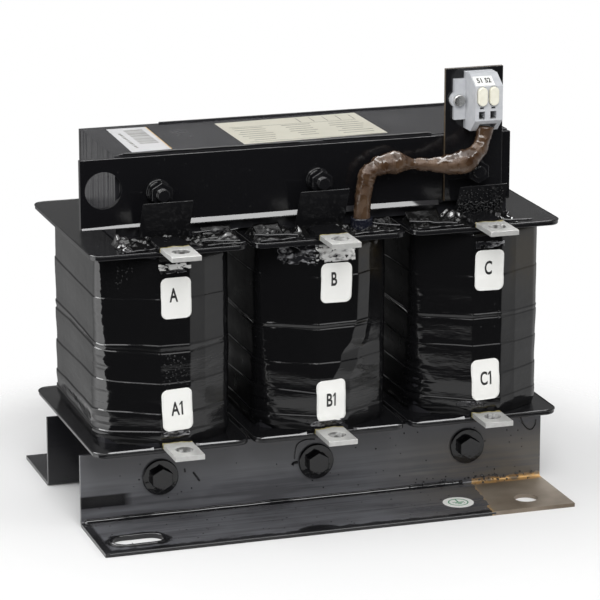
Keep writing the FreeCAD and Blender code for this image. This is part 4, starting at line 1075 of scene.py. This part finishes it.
def scatter_drops(name, patch, count, size, seed, standing=0.45):
    largest = (size * MM, size * MM, standing * size * MM)
    by_rule(drop_rule, patch, name, bead_finish, Count=count, Largest=largest, Seed=seed)


for order, (name, (corners, count, size)) in enumerate(DROP_PATCHES.items()):
    patch = mesh_object("patch", [Vector(corner) * MM for corner in corners], [(0, 1, 2, 3)])
    scatter_drops(name, patch, count, size, order + 3)
for order, (name, (phase, edges, count, size)) in enumerate(COIL_DROPS.items()):
    scatter_drops(name, patch_on(wraps[phase], *edges), count, size, order + 13)

# Earth sign. A round white sticker with the plain earth mark in a green ring, beside the bare corner
# where the earth lead is bolted on. Bars are (x, y, half width, half height) in millimetres.
SIGN_PLACE = Vector((65.4 * MM, -61.2 * MM, FOOT_TOP))
SIGN_SIZE = 15.4 * MM
SIGN_RING = (4.5 * MM, 5.1 * MM)
SIGN_PRINT = (0.1 * MM, 0.18 * MM)
SIGN_BARS = ((0, 2.3, 0.35, 2.2), (0, 0, 3.0, 0.35), (0, -1.2, 2.0, 0.35), (0, -2.4, 1.0, 0.35))


def flat_piece(name, grid, place, low, high, finish):
    """A thin flat sheet lying at a place, between two heights over it."""
    flat = [[place + Vector((x, y, 0)) for x, y in row] for row in grid]
    fixed(sheet_between(name, moved(flat, 0, 0, high), moved(flat, 0, 0, low), smooth=False), finish)


green_tones = ((0.015, 0.19, 0.08, 1), (0.03, 0.27, 0.12, 1))
green_finish = two_tone("sign_green", (0.02, 0.22, 0.09, 1), 0.4, green_tones, 800, 2.0)
disc = rounded_sheet(SIGN_SIZE, SIGN_SIZE, SIGN_SIZE / 2 - 0.05 * MM)
flat_piece("earth_sign", disc, SIGN_PLACE, -0.05 * MM, 0.14 * MM, label_finish)
circle = spaced(0, math.tau, 48)
ring = [[(radius * math.cos(turn), radius * math.sin(turn)) for turn in circle] for radius in SIGN_RING]
flat_piece("earth_sign_ring", ring, SIGN_PLACE, *SIGN_PRINT, green_finish)
for order, (x, y, half_wide, half_high) in enumerate(SIGN_BARS):
    sides, rises = ((x - half_wide) * MM, (x + half_wide) * MM), ((y - half_high) * MM, (y + half_high) * MM)
    bar = [[(side, rise) for side in sides] for rise in rises]
    flat_piece(f"earth_sign_bar_{order}", bar, SIGN_PLACE, *SIGN_PRINT, green_finish)

# Clamp bars. Flat bars across both faces of the upper yoke, with a lifting hole at one end of
# each, and a strip of pressboard behind them that stands a little proud.
bar_finish = varnished("varnished_bar", (0.006, 0.006, 0.007, 1), 0.14, waves=0.00018)
strip_finish = varnished("varnished_pressboard", (0.02, 0.02, 0.022, 1), 0.2, waves=0.0005)
for side in ("front", "rear"):
    softened(f"{side}_clamp_bar", 0.3 * MM, bar_finish)
for side in ("front", "rear"):
    softened(f"{side}_insulation_strip", 0.25 * MM, strip_finish)

# Varnish lips and strings. It gathered along the front bar's lower edge and on the lower flanges in
# slanting lips, and was drawn out in strings on the upper ones. A lip's reach is (x, size) and a
# string runs from one point to another with a radius, all in millimetres.
BAR_LIP_PLACE = (-36 * MM, 148.9 * MM)
FLANGE_LIP_PLACE = (-59 * MM, 44.5 * MM)
LIPS = {
    "bar_lip": (((-117.6, 0.55), (-92, 0.9), (-65, 1.35), (45, 1.35), (62.4, 1.1)), BAR_LIP_PLACE),
    "flange_lip_a_left": (((-113, 0.15), (-111, 0.38), (-92, 0.42), (-90, 0.75)), FLANGE_LIP_PLACE),
    "flange_lip_a_right": (((-69, 0.75), (-66, 0.42), (-49, 0.34), (-47, 0.15)), FLANGE_LIP_PLACE),
    "flange_lip_b_left": (((-36, 0.15), (-34, 0.38), (-16, 0.38), (-13, 0.75)), FLANGE_LIP_PLACE),
    "flange_lip_b_right": (((11, 0.65), (14, 0.36), (34, 0.32), (36, 0.15)), FLANGE_LIP_PLACE),
    "flange_lip_c_left": (((44, 0.15), (47, 0.38), (64, 0.36), (69, 0.75)), FLANGE_LIP_PLACE),
}
LIP_SECTION = ((0, 1.55), (1, 0), (0.95, -0.35), (0, -0.45))
LIP_SHEET = 0.4 * MM
STRINGS = (
    ("string_a_front", (-62, -57.6, 142.4), (-43, -57.2, 142.4), 0.6),
    ("string_a_slant", (-63, -52.0, 143.4), (-45, -55.0, 142.8), 0.8),
    ("string_a_rear", (-66, -44.0, 145.8), (-42, -42.0, 145.2), 0.7),
    ("string_a_left", (-103, -57.4, 142.2), (-87, -56.6, 142.2), 0.6),
    ("string_b_front", (-36, -57.8, 142.3), (-17, -57.0, 142.4), 0.6),
    ("string_b_slant", (-36, -50.0, 143.6), (-16, -54.6, 143.0), 0.8),
    ("string_b_right", (12, -57.8, 142.3), (35, -56.8, 142.3), 0.7),
    ("string_b_far_right", (25, -47.0, 144.4), (37, -52.0, 143.2), 0.8),
    ("string_c_front", (44, -57.6, 142.3), (68, -57.0, 142.3), 0.6),
    ("string_c_slant", (43, -49.0, 144.0), (66, -54.0, 142.8), 0.8),
    ("string_c_right", (88, -55.0, 142.4), (104, -56.6, 142.2), 0.6),
    ("strip_line_left", (-96, -33.4, 184.0), (-8, -33.4, 184.0), 0.4),
    ("strip_line_right", (4, -33.4, 184.0), (58, -33.4, 184.0), 0.4),
    ("bar_top_line", (-117, -35.6, 182.3), (62, -35.6, 182.3), 0.35),
)
STRING_WANDER = 1.5 * MM
LINE_WANDER = 0.4 * MM
lip_finish, tree = new_finish("varnish_lip", (0.03, 0.03, 0.032, 1), 0.08, Specular_IOR_Level=0.62)
shade(tree, Normal=bump(tree, noise_on(tree, 60, 2.0), 0.00008))
for name, (reach_table, (wall, level)) in LIPS.items():
    left, right = reach_table[0][0], reach_table[-1][0]
    columns = max(12, round((right - left) / 1.8))
    lip_front = []
    for share_out, share_up in LIP_SECTION:
        front = []
        for x in spaced(left, right, columns):
            reach = along_table(reach_table, x) * MM * (1 + 0.07 * wobble(x * MM * 45, 7.7, 0))
            front.append(Vector((x * MM, wall - reach * share_out, level + reach * share_up)))
        lip_front.append(front)
    lip = sheet_between(name, lip_front, moved(lip_front, 0, LIP_SHEET, 0), smooth=False)
    fixed(lip, lip_finish)
for name, start, end, radius in STRINGS:
    start, end = Vector(start) * MM, Vector(end) * MM
    path = [start.lerp(end, share) for share in spaced(0, 1, round((end.x - start.x) / (4 * MM)))]
    wander = STRING_WANDER if name.startswith("string") else LINE_WANDER
    by_rule(bead_rule, path_object(path), name, bead_finish, Radius=radius * MM, Wander=wander, Swell=0.9)

# Varnish crust over the upper flanges. Lead ends, insulation and drips were drowned together between
# the bar and the flange rims, and set in a glossy lumpy crust with a few folded insulation sheets.
# Crusts are (left, right, near, far) in millimetres and a seed; TABS_ABOVE are the tabs' sides.
CRUSTS = {
    "crust_a": (-104, -42.5, -57.5, -36.5, 0.0),
    "crust_b": (-37.5, 37.5, -57.5, -36.5, 4.0),
    "crust_c": (42.5, 99, -57.5, -36.5, 8.0),
}
TABS_ABOVE = ((-86.8, -72.2), (-8.0, 6.6), (71.9, 86.5))
UNDER_TAB_HIGHEST = 0.55 * MM
CRUST_HIGHEST = 5.2 * MM
CRUST_SINK = 0.4 * MM
FOLDED_SHEETS = {
    "folded_sheet_a": (-60, -45, -38, 147.0, -46, 142.4),
    "folded_sheet_b": (-34, -21, -39, 146.4, -51, 142.0),
    "folded_sheet_c": (44, 61, -38, 146.8, -48, 142.3),
    "folded_sheet_d": (27, 36, -40, 145.2, -49, 142.0),
}
FOLDED_SHEET = 0.35 * MM
FLANGE_TOP = 141.5 * MM
CRUST_CELL = 0.6 * MM


def crust_height(x, y, seed):
    """How high the crust stands: lumps and creases that rise towards the bar, kept low under a tab."""
    height = 0.35 + 0.85 * wobble(x * 95, y * 95, seed) + 0.6 * wobble(x * 300, y * 300, seed + 1)
    height += 0.5 * max(0.0, 1 - 2.4 * abs(wobble(x * 170, y * 210, seed + 2)))
    height *= (0.9 + 2.6 * smooth_step((y / MM + 56) / 14)) * MM
    under_tab = y < -44 * MM and any(low - 1 < x / MM < high + 1 for low, high in TABS_ABOVE)
    return min(height, UNDER_TAB_HIGHEST if under_tab else CRUST_HIGHEST)


crust_finish = varnished(
    "varnish_crust", (0.008, 0.008, 0.008, 1), 0.06, waves=0.0005, grain=0.00008, Specular_IOR_Level=0.9
)
for name, (left, right, near, far, seed) in CRUSTS.items():
    across = round((right - left) * MM / CRUST_CELL)
    deep = round((far - near) * MM / CRUST_CELL)
    top, under = [], []
    for row, y in enumerate(spaced(near, far, deep)):
        line = []
        for column, x in enumerate(spaced(left, right, across)):
            edge = min(row, deep - row, column, across - column) * CRUST_CELL
            fade = smooth_step(edge / (2.5 * MM))
            height = crust_height(x * MM, y * MM, seed) * fade - 0.25 * MM * (1 - fade)
            line.append(Vector((x * MM, y * MM, FLANGE_TOP + height)))
        top.append(line)
        under.append([Vector((point.x, point.y, FLANGE_TOP - CRUST_SINK)) for point in line])
    fixed(sheet_between(name, top, under), crust_finish)
for order, (name, (left, right, far, high, near, low)) in enumerate(FOLDED_SHEETS.items()):
    top = []
    for share in spaced(0, 1, 8):
        line = []
        for x in spaced(left, right, 12):
            wave = 0.5 * wobble(x * 0.35, share * 2.5, order * 5.3)
            line.append(Vector((x, far + (near - far) * share, high + (low - high) * share + wave)) * MM)
        top.append(line)
    fixed(sheet_between(name, top, moved(top, 0, 0, -FOLDED_SHEET)), crust_finish)

# Insulation flaps. Bent pressboard sheets that keep the clamp nuts off the upper tabs, drowned in
# varnish so that they mirror like glass. A line of varnish lies along each one's top, at a middle
# (x, y, z) in millimetres.
FLAP_LINES = {"a": (-78.4, -48.6, 162.4), "b": (-0.1, -48.6, 162.4), "c": (82.3, -46.7, 158.6)}
FLAP_DROPS_STANDING = 1.2
flap_finish = varnished(
    "varnished_flap", (0.009, 0.009, 0.01, 1), 0.08, waves=0.00003, Specular_IOR_Level=0.18
)
flaps = {phase: softened(f"insulation_flap_{phase}", 0.12 * MM, flap_finish) for phase in "abc"}
for name, levels, count, size, seed in (
    ("specks_flap_c", (142.6, 150), 420, 0.75, 21),
    ("specks_flap_c_above", (150, 157), 70, 0.5, 22),
):
    scatter_drops(name, patch_on(flaps["c"], 70.5, 94, *levels), count, size, seed, FLAP_DROPS_STANDING)
for phase, (x, y, z) in FLAP_LINES.items():
    path = path_object([((x + 2 * step) * MM, y * MM, z * MM) for step in range(-6, 7)])
    by_rule(bead_rule, path, f"flap_top_line_{phase}", bead_finish, Radius=0.3 * MM, Wander=0.2 * MM)

# Terminal tabs. Flat copper bars, tinned a dull white: their rear was dipped with the coil and is
# black, with a yellowish rim of thin varnish where the dip ended. Holes are (x, y) in millimetres.
TIN_COLOUR = (0.66, 0.66, 0.64, 1)
TIN_TONES = ((0.43, 0.43, 0.415, 1), (0.70, 0.70, 0.685, 1))
HOLE_SHADE_AND_GLINT_TONES = ((0.14, 0.14, 0.135, 1), (0.52, 0.52, 0.51, 1))
THIN_VARNISH = (0.36, 0.29, 0.06, 1)
DIPPED_COLOUR = (0.01, 0.01, 0.011, 1)
TAB_LEVELS = {
    "upper": (("a", "b", "c"), -62.5 * MM, ((-79.5, -73.2), (-0.7, -72.6), (79.2, -73.2))),
    "lower": (("a1", "b1", "c1"), -59.5 * MM, ((-78.3, -71.5), (-1.8, -71.7), (80.2, -67.5))),
}
for level, (names, dip_line, holes) in TAB_LEVELS.items():
    tab_finish, tree = new_finish(f"tinned_copper_{level}", TIN_COLOUR, 0.45)
    place = object_place(tree)
    ragged = ramp(tree, noise_on(tree, 180, 3.0), 0.3, 0.7, -1.3 * MM, 1.3 * MM)
    along = reckon(tree, "ADD", axes(tree, place)[1], ragged)
    dipped = ramp(tree, along, dip_line - 0.3 * MM, dip_line + 0.3 * MM)
    thin_varnish = ramp(tree, along, dip_line - 1.8 * MM, dip_line - 0.2 * MM)
    from_hole = 1.0
    for x, y in holes:
        from_hole = reckon(tree, "MINIMUM", from_hole, distance_from(tree, place, x * MM, y * MM))
    tin = blend(tree, noise_on(tree, 260, 4.0, 0.7), *TIN_TONES)
    # Inside each hole the tin is painted with shade, broken by painted glints.
    hole_shade_and_glints = blend(tree, ramp(tree, noise_on(tree, 380, 2.0), 0.4, 0.6), *HOLE_SHADE_AND_GLINT_TONES)
    tin = blend(tree, ramp(tree, from_hole, 4.5 * MM, 4.25 * MM), tin, hole_shade_and_glints)
    yellowed = blend(tree, thin_varnish, tin, THIN_VARNISH)
    bright = reckon(tree, "SUBTRACT", 1.0, dipped)
    scratches = bump(tree, noise_on(tree, 700, 3.0, 0.5, (1, 0.15, 1)), 0.00004)
    lumpy = reckon(tree, "MULTIPLY", noise_on(tree, 260, 2.0), dipped)
    shade(
        tree,
        Base_Color=blend(tree, dipped, yellowed, DIPPED_COLOUR),
        Metallic=reckon(tree, "MULTIPLY", bright, 0.35),
        Roughness=ramp(tree, bright, 0, 1, 0.12, 0.4),
        Normal=bump(tree, lumpy, 0.0009, scratches),
    )
    for name in names:
        softened(f"terminal_{name}", 0.3 * MM, tab_finish)

# Terminal bracket. An upright steel plate held under the clamp nut of phase C: the varnish is thin
# on its cut edges, where the steel shows through brown.
BRACKET_COLOUR = (0.008, 0.008, 0.009, 1)
WORN_EDGE_TONES = ((0.05, 0.036, 0.02, 1), (0.16, 0.12, 0.08, 1))
bracket_finish = varnished("varnished_bracket", BRACKET_COLOUR, 0.13, waves=0.00015)
tree = bracket_finish.node_tree
facing = axes(tree, add_node(tree, "ShaderNodeNewGeometry").outputs["True Normal"])
cut_edge = ramp(tree, reckon(tree, "ABSOLUTE", facing[1]), 0.85, 0.5)
worn_edge = blend(tree, noise_on(tree, 300, 3.0), *WORN_EDGE_TONES)
shade(tree, Base_Color=blend(tree, cut_edge, BRACKET_COLOUR, worn_edge))
softened("terminal_bracket", 0.25 * MM, bracket_finish)

# Terminal block. A two-pole spring-clamp block in grey plastic, screwed to the bracket by its ear:
# cream push buttons, wire openings under them, and a numbered marker strip on its sloping face.
BLOCK_COLOUR = (0.50, 0.51, 0.53, 1)
BLOCK_TONES = ((0.46, 0.475, 0.50, 1), (0.54, 0.55, 0.57, 1))
BUTTON_COLOUR = (0.80, 0.77, 0.66, 1)
BUTTON_TONES = ((0.76, 0.74, 0.62, 1), (0.84, 0.82, 0.71, 1))
BLOCK_SLOPE_LOW = Vector((0, -54, 209.3)) * MM
BLOCK_SLOPE_HIGH = Vector((0, -46, 214.5)) * MM
MARKER_PLACE = (74.9, 84.6)
MARKER_REACH = (0.06, 0.74)
MARKER_STAND = 0.35 * MM
MARKER_SINK = 0.1 * MM
NUMBERS_STAND = 0.46 * MM
MARKER_NUMBERS = "51 52"
tones_reach = (0.3, 0.7)
block_finish = two_tone(
    "block_plastic", BLOCK_COLOUR, 0.5, BLOCK_TONES, 300, 3.0, tones_reach, Specular_IOR_Level=0.15
)
tree = block_finish.node_tree
shade(tree, Normal=bump(tree, noise_on(tree, 300, 3.0), 0.00002))
softened("terminal_block_housing", 0.25 * MM, block_finish)
button_finish = two_tone(
    "button_plastic", BUTTON_COLOUR, 0.4, BUTTON_TONES, 400, 3.0, tones_reach, Specular_IOR_Level=0.3
)
for node in ("clamp_button_1", "clamp_button_2"):
    softened(node, 0.6 * MM, button_finish, segments=3)
zinc_finish, tree = new_finish("zinc_plate", (0.62, 0.62, 0.60, 1), 0.3, Metallic=1.0)
shade(tree, Roughness=ramp(tree, noise_on(tree, 500, 3.0), 0.3, 0.7, 0.22, 0.42))
refinish(("clamp_springs", "current_bars", "block_screw_nut"), zinc_finish)
softened("block_screw", 0.45 * MM, zinc_finish, segments=3)
slope = BLOCK_SLOPE_HIGH - BLOCK_SLOPE_LOW
slope_out = Vector((0, -slope.z, slope.y)).normalized()
on_slope = [
    [BLOCK_SLOPE_LOW + slope * share + Vector((x * MM, 0, 0)) for x in spaced(*MARKER_PLACE, 6)]
    for share in spaced(*MARKER_REACH, 4)
]
marker_front = moved(on_slope, *(slope_out * MARKER_STAND))
marker_back = moved(on_slope, *(slope_out * -MARKER_SINK))
fixed(sheet_between("marker_strip", marker_front, marker_back, smooth=False), label_finish)
numbers = lettering("marker_numbers", MARKER_NUMBERS, 3.1 * MM, 0.72, 0.16 * MM)
middle = BLOCK_SLOPE_LOW + slope * sum(MARKER_REACH) / 2 + slope_out * NUMBERS_STAND
middle.x = sum(MARKER_PLACE) / 2 * MM
for vertex in numbers.data.vertices:
    vertex.co = middle + Vector((vertex.co.x, 0, 0)) + slope.normalized() * vertex.co.y
fixed(numbers, ink_finish)

# Stickers on the yoke. A cream rating plate and a white bar label, left without words or names: thin
# ruled lines and plain bars stand in the places of the print. Corners are (x, y) in millimetres; a
# print is (first place, step to the next, number, size of one, share of it that the shortest has).
YOKE_TOP = Vector((0, 0, 183 * MM))
STICKERS = {
    "rating_plate": ((-33.8, 23.5), (40.7, 27.0), (40.6, -22.9), (-33.7, -26.5)),
    "bar_label": ((-88.2, 27.1), (-68.5, 26.7), (-70.0, -25.5), (-89.9, -26.7)),
}
STICKER_SINK = -0.05 * MM
PRINTS = {
    "plate_lines_left": ((-21.5, 8.5), (0.1, -4.6), 7, (19, 0.75), (0.55, 1, 1)),
    "plate_lines_middle": ((3.5, 8.5), (0, -4.6), 6, (15, 0.75), (0.6, 1, 1)),
    "plate_lines_right": ((28, 6.5), (0, -4.6), 6, (18, 0.75), (0.55, 1, 1)),
    "plate_rules": ((3, 11.2), (0, -34.2), 2, (66, 0.35), (1, 1, 1)),
    "plate_columns": ((8, 18), (7, 0), 5, (0.4, 10), (1, 1, 1)),
    "bar_label_bars": ((-76.5, 21), (0, -1.55), 21, (9.5, 0.9), (1, 0.25, 1)),
    "bar_label_line": ((-85, 14), (0, -3.2), 11, (1.4, 2.2), (1, 0.5, 1)),
}
PRINT_LIFT = 0.13 * MM
PRINT_SHEET = 0.06 * MM
yoke_finishes = {}
for name, colour, roughness, tones, scale, detail, gloss in (
    ("plate_film", (0.56, 0.54, 0.46), 0.5, ((0.50, 0.485, 0.41), (0.62, 0.60, 0.52)), 60, 4.0, 0.05),
    ("sticker_paper", (0.62, 0.62, 0.63), 0.5, ((0.57, 0.57, 0.58), (0.67, 0.67, 0.68)), 90, 4.0, 0.05),
    ("grey_print", (0.12, 0.12, 0.11), 0.6, ((0.10, 0.10, 0.09), (0.26, 0.25, 0.22)), 500, 3.0, 0.2),
    ("gold_edge", (0.55, 0.36, 0.12), 0.35, ((0.40, 0.24, 0.07), (0.68, 0.48, 0.20)), 200, 3.0, 0.5),
):
    dark, light = ((*tone, 1) for tone in tones)
    yoke_finishes[name] = two_tone(
        name, (*colour, 1), roughness, (dark, light), scale, detail, Specular_IOR_Level=gloss
    )
for name, film in (("rating_plate", "plate_film"), ("bar_label", "sticker_paper")):
    far_left, far_right, near_right, near_left = (Vector(corner) * MM for corner in STICKERS[name])
    grid = []
    for share in spaced(0, 1, 6):
        left, right = near_left.lerp(far_left, share), near_right.lerp(far_right, share)
        grid.append([left.lerp(right, along) for along in spaced(0, 1, 8)])
    flat_piece(name, grid, YOKE_TOP, STICKER_SINK, 0.12 * MM, yoke_finishes[film])
right_edge = [near_right.lerp(far_right, share) for share in spaced(0, 1, 6)]
edge = [[place + Vector((side * MM, 0)) for side in (-0.2, 0.35)] for place in right_edge]
flat_piece("bar_label_edge", edge, YOKE_TOP, STICKER_SINK, 0.14 * MM, yoke_finishes["gold_edge"])

usual_sizes = {"Size": (8 * MM, 0.6 * MM, 0.04 * MM), "Shortest": (0.6, 1.0, 1.0)}
usual_sizes |= {"Longest": (1.0, 1.0, 1.0), "Seed": 5}
print_rule, given = new_rule("printed lines", usual_sizes)
tree = print_rule
points = first_out(tree, "GeometryNodeMeshToPoints", {"Mesh": given["Base"]})
stroke = first_out(tree, "GeometryNodeMeshCube", {"Size": given["Size"]})
lengths = {0: given["Shortest"], 1: given["Longest"], "Seed": given["Seed"]}
lengths = first_out(tree, "FunctionNodeRandomValue", lengths, data_type="FLOAT_VECTOR")
printed_lines = {"Points": points, "Instance": stroke, "Scale": lengths}
end_rule(tree, given, first_out(tree, "GeometryNodeInstanceOnPoints", printed_lines))
for order, (name, (first, step, count, (wide, long), shortest)) in enumerate(PRINTS.items()):
    spots = [(Vector(first) + Vector(step) * number) * MM for number in range(count)]
    base = mesh_object("places", [(spot.x, spot.y, YOKE_TOP.z + PRINT_LIFT) for spot in spots], [])
    size = (wide * MM, long * MM, PRINT_SHEET)
    grey_print = yoke_finishes["grey_print"]
    by_rule(print_rule, base, name, grey_print, Size=size, Shortest=shortest, Seed=order + 11)

# Fasteners. Hexagon bolts, nuts and washers drowned in varnish, which rounds their edges and hangs
# in them in lumps. The threads of the upper bolts stand out of their nuts.
fastener_finish = varnished(
    "varnished_fastener", (0.007, 0.007, 0.008, 1), 0.08, waves=0.0003, Specular_IOR_Level=0.5
)
tree = fastener_finish.node_tree
shade(tree, Normal=bump(tree, noise_on(tree, 220, 2.0), 0.0002, led_in(tree, "Normal")))
for node in (
    "upper_clamp_bolts",
    "lower_clamp_bolts",
    "plain_washers",
    "wide_washers",
    "spring_washers",
    "clamp_nuts",
):
    softened(node, 0.5 * MM, fastener_finish, segments=3)
BOLT_TIP = -47.4 * MM
UPPER_BOLT_HEIGHT = 165.4 * MM
NUT_FRONTS = {"a": -44.2 * MM, "b": -44.2 * MM, "c": -46.2 * MM}
usual_sizes = {"Radius": 3 * MM, "Length": 3 * MM, "Turns": 3.0, "Ridge": 0.32 * MM}
thread_rule, given = new_rule("bolt thread", usual_sizes)
tree = thread_rule
spiral = {"Resolution": 28, "Rotations": given["Turns"], "Height": given["Length"]}
spiral |= {"Start Radius": given["Radius"], "End Radius": given["Radius"]}
spiral = first_out(tree, "GeometryNodeCurveSpiral", spiral)
ridge = {"Resolution": 6, "Radius": given["Ridge"]}
ridge = first_out(tree, "GeometryNodeCurvePrimitiveCircle", ridge, mode="RADIUS")
thread = {"Curve": spiral, "Profile Curve": ridge, "Fill Caps": True}
thread = first_out(tree, "GeometryNodeCurveToMesh", thread)
forward = {"Geometry": thread, "Rotation": (math.radians(90), 0, 0)}
forward = first_out(tree, "GeometryNodeTransform", forward)
starts = first_out(tree, "GeometryNodeMeshToPoints", {"Mesh": given["Base"]})
threads = first_out(tree, "GeometryNodeInstanceOnPoints", {"Points": starts, "Instance": forward})
end_rule(tree, given, threads)
for phase, nut_front in NUT_FRONTS.items():
    length = nut_front - BOLT_TIP - 0.3 * MM
    base = mesh_object("start", [(COIL_CENTRES[phase], nut_front, UPPER_BOLT_HEIGHT)], [])
    name, turns = f"bolt_thread_{phase}", max(1.0, length / MM)
    by_rule(thread_rule, base, name, fastener_finish, Length=length, Turns=turns)

# Sensor sleeve. A sleeve over the two leads of the thermal contact, from the middle coil up to the
# block. Varnish soaked it, browned it and left it stiff, folded and bagging; a tie holds its foot.
# The route's points and the sizes are in millimetres; sizes are (length along it, width).
SLEEVE_ROUTE = (
    (20, -44, 139),
    (20, -44, 151.5),
    (21.5, -43.5, 161),
    (23, -43, 168),
    (29, -43, 172),
    (38, -43.2, 172.8),
    (47.5, -44, 171.2),
    (58, -46.5, 170.7),
    (67.5, -51, 171.3),
    (75.5, -52, 175),
    (80.8, -48.8, 181),
    (82, -48, 188.5),
)
SLEEVE_WIDTHS = (
    (0, 8.2),
    (24, 8.0),
    (29, 8.8),
    (32, 8.0),
    (36, 9.6),
    (44, 11.0),
    (54, 5.2),
    (58, 6.6),
    (61, 6.2),
    (66, 7.6),
    (71, 9.8),
    (79, 11.6),
    (87, 8.2),
    (92, 7.6),
    (100, 8.4),
)
SLEEVE_SIDES = 28
CRUMPLED_LENGTHS = ((24, 38), (80, 96))
CRUMPLED = 0.16
STRAIGHT = 0.07
route = bpy.data.curves.new("sleeve_route", "CURVE")
route.dimensions = "3D"
spline = route.splines.new("NURBS")
spline.points.add(len(SLEEVE_ROUTE) - 1)
for point, place in zip(spline.points, SLEEVE_ROUTE):
    point.co = (*(Vector(place) * MM), 1)
spline.order_u = 3
spline.use_endpoint_u = True
spline.resolution_u = 12
route_line = baked(new_object("sleeve_route", route), "sleeve_line")
middle_line = [vertex.co.copy() for vertex in route_line.data.vertices]
bpy.data.objects.remove(route_line)
run = 0.0
side_way = Vector((1, 0, 0))
vertices = []
for index, place in enumerate(middle_line):
    before, after = middle_line[max(index - 1, 0)], middle_line[min(index + 1, len(middle_line) - 1)]
    run += (place - before).length
    ahead = (after - before).normalized()
    side_way = (side_way - ahead * side_way.dot(ahead)).normalized()
    up_way = ahead.cross(side_way)
    length = run / MM
    crumpled = CRUMPLED if any(low < length < high for low, high in CRUMPLED_LENGTHS) else STRAIGHT
    for turn in spaced(0, math.tau, SLEEVE_SIDES)[:-1]:
        facing = side_way * math.cos(turn) + up_way * math.sin(turn)
        lump = wobble(facing.x * 1.3, facing.y * 1.3 + facing.z, length * 0.33)
        fold = wobble(facing.x * 0.6 + 4, facing.z * 0.6, length * 0.8)
        radius = along_table(SLEEVE_WIDTHS, length) / 2 * (1 + crumpled * lump + 0.8 * crumpled * fold)
        vertices.append(place + facing * radius * MM)
last_ring = (len(middle_line) - 1) * SLEEVE_SIDES
faces = [tuple(reversed(range(SLEEVE_SIDES))), tuple(range(last_ring, last_ring + SLEEVE_SIDES))]
for start in range(0, last_ring, SLEEVE_SIDES):
    for side in range(SLEEVE_SIDES):
        low, beside = start + side, start + (side + 1) % SLEEVE_SIDES
        faces.append((low, beside, beside + SLEEVE_SIDES, low + SLEEVE_SIDES))
sleeve = mesh_object("varnished_sleeve", vertices, faces)
work = bmesh.new()
work.from_mesh(sleeve.data)
bmesh.ops.recalc_face_normals(work, faces=work.faces)
work.to_mesh(sleeve.data)
work.free()
sleeve_finish, tree = new_finish("sleeve_varnish", (0.075, 0.042, 0.022, 1), 0.17)
sleeve_tones = ((0.040, 0.020, 0.010, 1), (0.085, 0.052, 0.031, 1))
raised = bump(tree, noise_on(tree, 170, 1.0), 0.0009)
shade(
    tree,
    Base_Color=blend(tree, ramp(tree, noise_on(tree, 110, 4.0), 0.35, 0.65), *sleeve_tones),
    Roughness=ramp(tree, noise_on(tree, 190, 1.0), 0.5, 0.56, 0.12, 0.5),
    Normal=bump(tree, noise_on(tree, 420, 2.0), 0.00003, raised),
)
fixed(sleeve, sleeve_finish)
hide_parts("sensor_sleeve")
tie_finish = varnished("varnished_tie", (0.010, 0.011, 0.018, 1), 0.1, waves=0.0006, grain=0.00006)
softened("sleeve_tie", 0.6 * MM, tie_finish, segments=3)
